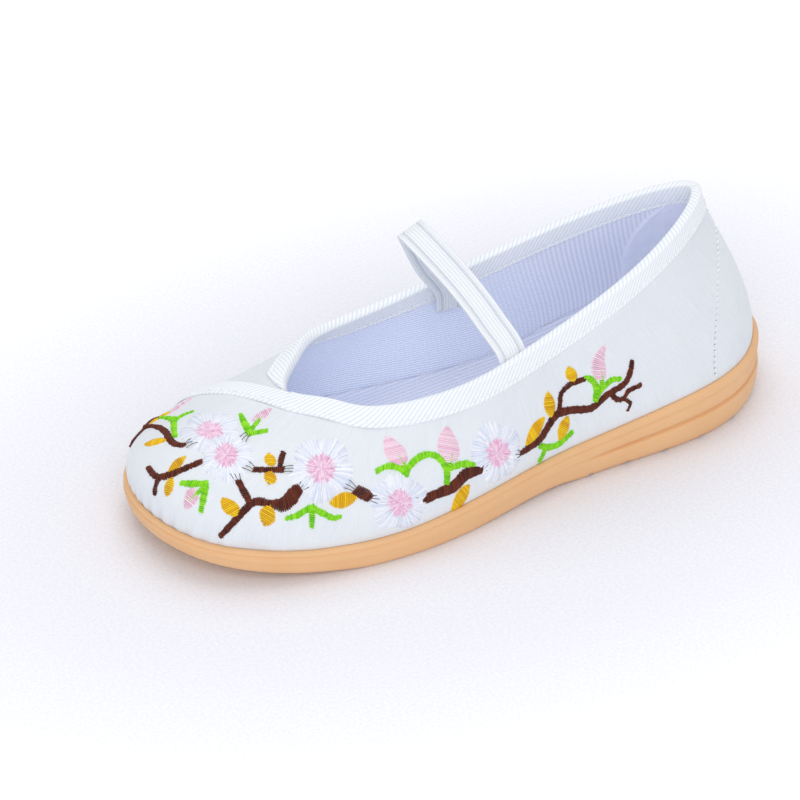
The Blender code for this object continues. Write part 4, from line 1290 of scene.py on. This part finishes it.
threads = {name: Needlework() for name in SILKS}
for name, (x, y, reach_across, reach_up, turn) in BLOSSOMS.items():
    rise = BEHIND_RISE if name == "behind" else BLOSSOM_RISE
    blossom(threads["white"], threads["heart"], x, y, reach_across, reach_up, turn, rise)
for base_x, base_y, tip_x, tip_y, width in LEAVES.values():
    threads["yellow"].satin_leaf(cloth_at(base_x, base_y), cloth_at(tip_x, tip_y), width * PIXEL)
for base_x, base_y, tip_x, tip_y, width in BUDS.values():
    threads["pink"].satin_leaf(cloth_at(base_x, base_y), cloth_at(tip_x, tip_y), width * PIXEL, BUD_FULLEST)
for pixels in BENT_BUDS.values():
    threads["pink"].satin_path(widths_on_cloth(pixels), BUD_RISE)
for pixels in GREENS.values():
    threads["green"].satin_path(widths_on_cloth(pixels), GREEN_RISE)
for pixels in BRANCHES.values():
    threads["brown"].satin_path(widths_on_cloth(pixels), BRANCH_RISE)
for end_x, end_y, heart_x, heart_y, spread in ROOTS.values():
    start, target = cloth_at(end_x, end_y), cloth_at(heart_x, heart_y)
    _, normal = on_cloth(start)
    for share in ROOT_SHARES:
        turned = Matrix.Rotation(math.radians(spread * share), 3, Vector(normal)) @ Vector(target - start)
        reach = rng.uniform(*ROOT_REACH)
        root = start + np.cross(normal, unit(target - start)) * share * ROOT_WIDTH
        threads["ink"].stitch(root - ROOT_BACK * np.array(turned), root + reach * np.array(turned), ROOT_RISE)

# The branch goes on round the toe, out of sight, in a fork with a leaf
FORK_PIXEL = (145.4, 428.5)
FORK_AHEAD = np.array([0.55, -1.0, 0.0])
HIDDEN_TWIGS = [
    [(0, 0, 1.8), (3.2, 3.0, 1.7), (6.5, 5.2, 1.5)],
    [(3.8, 3.2, 1.6), (3.6, 5.2, 1.5), (3.9, 7.5, 1.3)],
    [(0, 0, 1.8), (-2.6, 2.6, 2.0), (-5.8, 6.0, 2.0)],
]
HIDDEN_LEAF = [(-4.6, 4.2), (-10.5, 7.4)]
HIDDEN_LEAF_WIDTH = 3.6
fork, fork_normal = on_cloth(cloth_at(*FORK_PIXEL))
toewards = unit(FORK_AHEAD - fork_normal * (FORK_AHEAD @ fork_normal))
downwards = np.cross(fork_normal, toewards)
downwards = downwards if downwards[2] < 0 else -downwards


def past_fork(ahead, down, width):
    """Path point on the hidden side of the toe, by millimetres towards the toe and down from the fork."""
    return np.append(on_cloth(fork + ahead * toewards + down * downwards)[0], width)


for twig in HIDDEN_TWIGS:
    threads["brown"].satin_path([past_fork(*place) for place in twig], BRANCH_RISE)
threads["yellow"].satin_leaf(*(past_fork(*place, 0)[:3] for place in HIDDEN_LEAF), HIDDEN_LEAF_WIDTH)


def thread_tree():
    """Nodes that turn chains of edges into round threads with closed ends."""
    tree = bpy.data.node_groups.new("sewing_thread", "GeometryNodeTree")
    tree.interface.new_socket("Stitches", in_out="INPUT", socket_type="NodeSocketGeometry")
    tree.interface.new_socket("Half thickness", in_out="INPUT", socket_type="NodeSocketFloat")
    tree.interface.new_socket("Sides", in_out="INPUT", socket_type="NodeSocketInt")
    tree.interface.new_socket("Silk", in_out="INPUT", socket_type="NodeSocketMaterial")
    tree.interface.new_socket("Thread", in_out="OUTPUT", socket_type="NodeSocketGeometry")
    source = tree.nodes.new("NodeGroupInput")
    chain = tree.nodes.new("GeometryNodeMeshToCurve")
    ring = tree.nodes.new("GeometryNodeCurvePrimitiveCircle")
    tube = tree.nodes.new("GeometryNodeCurveToMesh")
    smooth = tree.nodes.new("GeometryNodeSetShadeSmooth")
    real = tree.nodes.new("GeometryNodeRealizeInstances")
    dressed = tree.nodes.new("GeometryNodeSetMaterial")
    result = tree.nodes.new("NodeGroupOutput")
    tube.inputs["Fill Caps"].default_value = True
    for start, end in (
        (source.outputs["Stitches"], chain.inputs["Mesh"]),
        (source.outputs["Sides"], ring.inputs["Resolution"]),
        (source.outputs["Half thickness"], ring.inputs["Radius"]),
        (chain.outputs["Curve"], tube.inputs["Curve"]),
        (ring.outputs["Curve"], tube.inputs["Profile Curve"]),
        (tube.outputs["Mesh"], smooth.inputs["Geometry"]),
        (smooth.outputs["Geometry"], real.inputs["Geometry"]),
        (real.outputs["Geometry"], dressed.inputs["Geometry"]),
        (source.outputs["Silk"], dressed.inputs["Material"]),
        (dressed.outputs["Geometry"], result.inputs["Thread"]),
    ):
        tree.links.new(start, end)
    return tree


sewing_thread = thread_tree()


def thread_piece(name, chains, half_thickness, material, sides=5):
    """A plain mesh of threads along chains of points in millimetres of the part's frame."""
    points, edges, shades = [], [], []
    for chain in chains:
        start = len(points)
        points += (np.asarray(chain) * METRE).tolist()
        edges += [(index, index + 1) for index in range(start, len(points) - 1)]
        shades += [rng.uniform(0, 1)] * len(chain)
    mesh = bpy.data.meshes.new(name)
    mesh.from_pydata(points, edges, [])
    mesh.attributes.new("shade", "FLOAT", "POINT").data.foreach_set("value", shades)
    piece = bpy.data.objects.new(name, mesh)
    bpy.context.scene.collection.objects.link(piece)
    modifier = piece.modifiers.new("thread", "NODES")
    modifier.node_group = sewing_thread
    values = {"Half thickness": half_thickness * METRE, "Sides": sides, "Silk": material}
    for item in sewing_thread.interface.items_tree:
        if item.name in values:
            modifier[item.identifier] = values[item.name]
    depsgraph = bpy.context.evaluated_depsgraph_get()
    made = bpy.data.meshes.new_from_object(piece.evaluated_get(depsgraph), preserve_all_data_layers=True,
                                           depsgraph=depsgraph)
    piece.modifiers.clear()
    piece.data = made
    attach(piece, "root")


def silk(name, dark, light, roughness=0.38):
    """Glossy twisted thread, each stitch a little lighter or darker."""
    material, paint, shader = new_finish(name, Specular_IOR_Level=0.35)
    shade = paint.node("Attribute", {"attribute_name": "shade"}, output=2)
    place = paint.node("TexCoord", output=3)
    ply = cloudy(paint, place, 1800.0)
    mixed(paint, 0.75 * shade + 0.25 * ply, colour(*dark), colour(*light)).feed(shader, "Base Color")
    (roughness + 0.2 * ply).feed(shader, "Roughness")
    raised(paint, shader, ply, 0.00003)
    return material


def laid(start, end, rise, inside):
    """Chain of a satin stitch: its ends drawn into the cloth and its middle crowned."""
    chain = []
    length = np.linalg.norm(end - start)
    for share, lift in SATIN_PROFILE:
        spot, normal = on_cloth(start + (end - start) * share)
        height = lift * rise * min(1.0, 0.45 + length / 8)
        chain.append(spot + normal * (-CLOTH - 0.6 * height if inside else height))
    return chain


HALF_THICKNESS = {"ink": 0.11, "heart": 0.2}   # of the finer threads
FRONT_ONLY = ("white", "heart", "ink")
LINING_SHOWS = -45.0     # the reverse is sewn from here towards the heel, where the collar lets it be seen
for name, work in threads.items():
    chains = [laid(start, end, rise, False) for start, end, rise in work.stitches]
    if name not in FRONT_ONLY:
        chains += [laid(start, end, rise, True) for start, end, rise in work.stitches
                   if start[1] > LINING_SHOWS]
    thread_piece("embroidery_" + name, chains, HALF_THICKNESS.get(name, THREAD),
                 silk("silk_" + name, *SILKS[name]))

# Seam stitching: white thread in even stitches along the tape near its edges, and up the front of the heel
# counter on both sides, where the needle's hole between each two stitches shows as a short grey thread of
# painted shade.
SEAM_THREAD = 0.22
NEEDLE = 0.27            # half the width of the grey painted shade in each needle hole between the counter's stitches
# Greys painted in each needle hole for its shade
HOLE_SHADE = ((148, 156, 168), (176, 184, 196))
TAPE_STITCH = 2.9        # from one stitch to the next, and the share of it that shows
TAPE_STITCH_SHOWS = 0.72
TAPE_STITCH_LIFT = 0.25
VAMP_STITCH_LIFT = 0.2
COUNTER_STITCH = 2.1
COUNTER_STITCH_SHOWS = 0.5
COUNTER_STITCH_LIFT = 0.45
COUNTER_FOOT = 0.02      # heights on the wall: above the sole's rim, and under the tape
COUNTER_TOP = 0.86
# Along a seam stitch: share of its length, and of its lift off the cloth
SEAM_PROFILE = ((0, -0.35), (0.2, 0.5), (0.5, 1.0), (0.8, 0.5), (1, -0.35))
# Lateral counter seam by picture pixels; the medial one lies at the same places along the foot
COUNTER_SEAM = [(718.0, 235), (717.3, 250), (717, 290), (715.7, 321), (715.3, 353), (713, 381)]
SEAM = ((238, 242, 247), (254, 255, 255))


def seam_row(points, normals, pitch, shows, lift):
    """Chains of stitches along a line of points: each dips at its ends and stands up in its middle."""
    way = way_along(points)
    chains = []
    for start in np.arange(pitch / 2, way[-1] - pitch, pitch):
        chain = []
        for share, height in SEAM_PROFILE:
            gone = start + share * pitch * shows
            spot = np.array([np.interp(gone, way, points[:, axis]) for axis in range(3)])
            normal = unit(np.array([np.interp(gone, way, normals[:, axis]) for axis in range(3)]))
            chain.append(spot + normal * height * lift)
        chains.append(chain)
    return chains


def row_line(rows, spans, share):
    """Line along one of a tape's rows of points, and its outward normals, by a share of its first leg."""
    row = round((1 - share) * spans)
    return rows[row] - CENTRE_LINE, unit(rows[row] - rows[-1 - row])


def leg_line(turns, distance, side):
    """Line along a leg of the collar tape: side is 1 outside and -1 on the lining."""
    _, _, down = collar_frame(turns)
    at_turn, at_height = slide(turns, np.ones_like(turns), down, distance)
    spot, outward, _, _ = wall_frame(at_turn, at_height, wall)
    depth = CLOTH / 2 * (side - 1) + side * (TAPE_LIFT + TAPE - TWILL_RELIEF - ROW_DRAWS)
    return spot + depth * outward - CENTRE_LINE, side * outward


seams, hole_shades = [], []
whole_leg = medial_turns[medial_outside > TAPE_OUTSIDE - 0.01]
for turns in (lateral_turns, whole_leg):
    outer_leg = leg_line(turns, TAPE_OUTSIDE - TAPE_ROW, 1)
    seams += seam_row(*outer_leg, TAPE_STITCH, TAPE_STITCH_SHOWS, TAPE_STITCH_LIFT)
for turns in (lateral_turns, medial_turns):
    inner_leg = leg_line(turns, TAPE_INSIDE - TAPE_ROW, -1)
    seams += seam_row(*inner_leg, TAPE_STITCH, TAPE_STITCH_SHOWS, TAPE_STITCH_LIFT)
vamp_line = row_line(vamp_rows, OUTER_SPANS, 1 - TAPE_ROW / TAPE_OUTSIDE)
seams += seam_row(*vamp_line, TAPE_STITCH, TAPE_STITCH_SHOWS, VAMP_STITCH_LIFT)
seam_pixels = np.array(COUNTER_SEAM)
seam_spots = [cloth_at(float(np.interp(y, seam_pixels[:, 1], seam_pixels[:, 0])), float(y)) + CENTRE_LINE
              for y in np.linspace(seam_pixels[0, 1], seam_pixels[-1, 1], 40)]
wall_places = [np.argmin(np.linalg.norm(outer_face[1:].reshape(-1, 3) - spot, axis=1)) for spot in seam_spots]
seam_turns = np.array(wall_places) % cols_kept / UPPER_COLUMNS
seam_heights = np.linspace(0, 1, WALL_ROWS)[np.array(wall_places) // cols_kept] ** ROW_CROWDING
bend = np.polyfit(seam_heights, seam_turns, 2)
counter_heights = np.linspace(COUNTER_FOOT, COUNTER_TOP, 120)
lateral_seam = np.polyval(bend, counter_heights)
medial_side = np.linspace(1, 0.75, 400)
medial_seam = [np.interp(-wall(turn, height)[1], -wall(medial_side, height)[:, 1], medial_side)
               for turn, height in zip(lateral_seam, counter_heights)]
for counter_turns in (lateral_seam, np.array(medial_seam)):
    spot, outward, _, _ = wall_frame(counter_turns, counter_heights, wall)
    row = seam_row(spot - CENTRE_LINE, outward, COUNTER_STITCH, COUNTER_STITCH_SHOWS, COUNTER_STITCH_LIFT)
    seams += row
    # a short grey thread at each stitch's end: painted shade of its needle hole
    for chain in row:
        end = chain[-1]
        hole_shades.append([end, end + (chain[2] - chain[1]) * 0.3, end + (chain[3] - chain[1]) * 0.5])
thread_piece("seam_stitches", seams, SEAM_THREAD, silk("seam_thread", *SEAM, roughness=0.55))
thread_piece("hole_shade_threads", hole_shades, NEEDLE, silk("painted_hole_shade", *HOLE_SHADE, roughness=0.8))

# Floor and light: a pale studio sweep with a painted glow for its backlight, growing away from the shoe and
# so leaving painted shade round it. A broad softbox hangs overhead, and another stands on the camera's side.
FLOOR_SIZE = 6.0
PAINTED_FLOOR_GLOW = 0.22         # painted glow standing for the sweep's backlight, growing over these distances from the shoe in metres
PAINTED_GLOW_REACH = (0.10, 0.34)
SKY = (0.97, 0.98, 1.0, 1.0)
SKY_STRENGTH = 0.60
# Softboxes: place, aim, size in metres and power in watts
LIGHTS = {
    "overhead":    ((-0.6, 0.1, 1.6), (0, 0, 0), 1.4, 9.0),
    "camera_side": ((1.25, -0.6, 1.1), (0, 0, 0.04), 1.2, 10.3),
}
FLOOR_COLOUR = (252, 252, 255)
FLOOR_GRIT = (228, 229, 239)
floor_mesh = bpy.data.meshes.new("floor")
FLOOR_TURN = ((-1, -1), (1, -1), (1, 1), (-1, 1))
floor_corners = [(side * FLOOR_SIZE, end * FLOOR_SIZE, 0) for side, end in FLOOR_TURN]
floor_mesh.from_pydata(floor_corners, [], [(0, 1, 2, 3)])
floor = bpy.data.objects.new("floor", floor_mesh)
bpy.context.scene.collection.objects.link(floor)
floor_finish, floor_paint, floor_shader = new_finish("studio_floor", Roughness=0.8, Specular_IOR_Level=0.1,
                                                    Emission_Strength=PAINTED_FLOOR_GLOW)
floor_place = floor_paint.node("TexCoord", output=3)
oval = floor_paint.node("VectorMath", {"operation": "MULTIPLY"}, {0: floor_place, 1: (1.5, 1.0, 0.0)})
apart = floor_paint.node("VectorMath", {"operation": "LENGTH"}, {0: oval}, output=1)
painted_glow = smooth_range(floor_paint, apart, *PAINTED_GLOW_REACH)
# The floor's Emission Color is painted light: none near the shoe and full beyond, so it leaves painted shade
# round it
mixed(floor_paint, painted_glow, colour(0, 0, 0), colour(255, 255, 255)).feed(floor_shader, "Emission Color")
grit = cloudy(floor_paint, floor_place, 900.0)
mixed(floor_paint, grit, colour(*FLOOR_COLOUR), colour(*FLOOR_GRIT)).feed(floor_shader, "Base Color")
floor_mesh.materials.append(floor_finish)


def softbox(name, place, aim, size, power):
    """A square area light in metres, turned to a point."""
    light = bpy.data.lights.new(name, "AREA")
    light.size = size
    light.energy = power
    lamp = bpy.data.objects.new(name, light)
    lamp.location = place
    lamp.rotation_mode = "QUATERNION"
    lamp.rotation_quaternion = (Vector(aim) - Vector(place)).to_track_quat("-Z", "Y")
    bpy.context.scene.collection.objects.link(lamp)


for name, placing in LIGHTS.items():
    softbox(name, *placing)
world = bpy.data.worlds.new("studio")
world.use_nodes = True
world.node_tree.nodes["Background"].inputs["Color"].default_value = SKY
world.node_tree.nodes["Background"].inputs["Strength"].default_value = SKY_STRENGTH
bpy.context.scene.world = world
bpy.context.scene.view_settings.view_transform = "Standard"
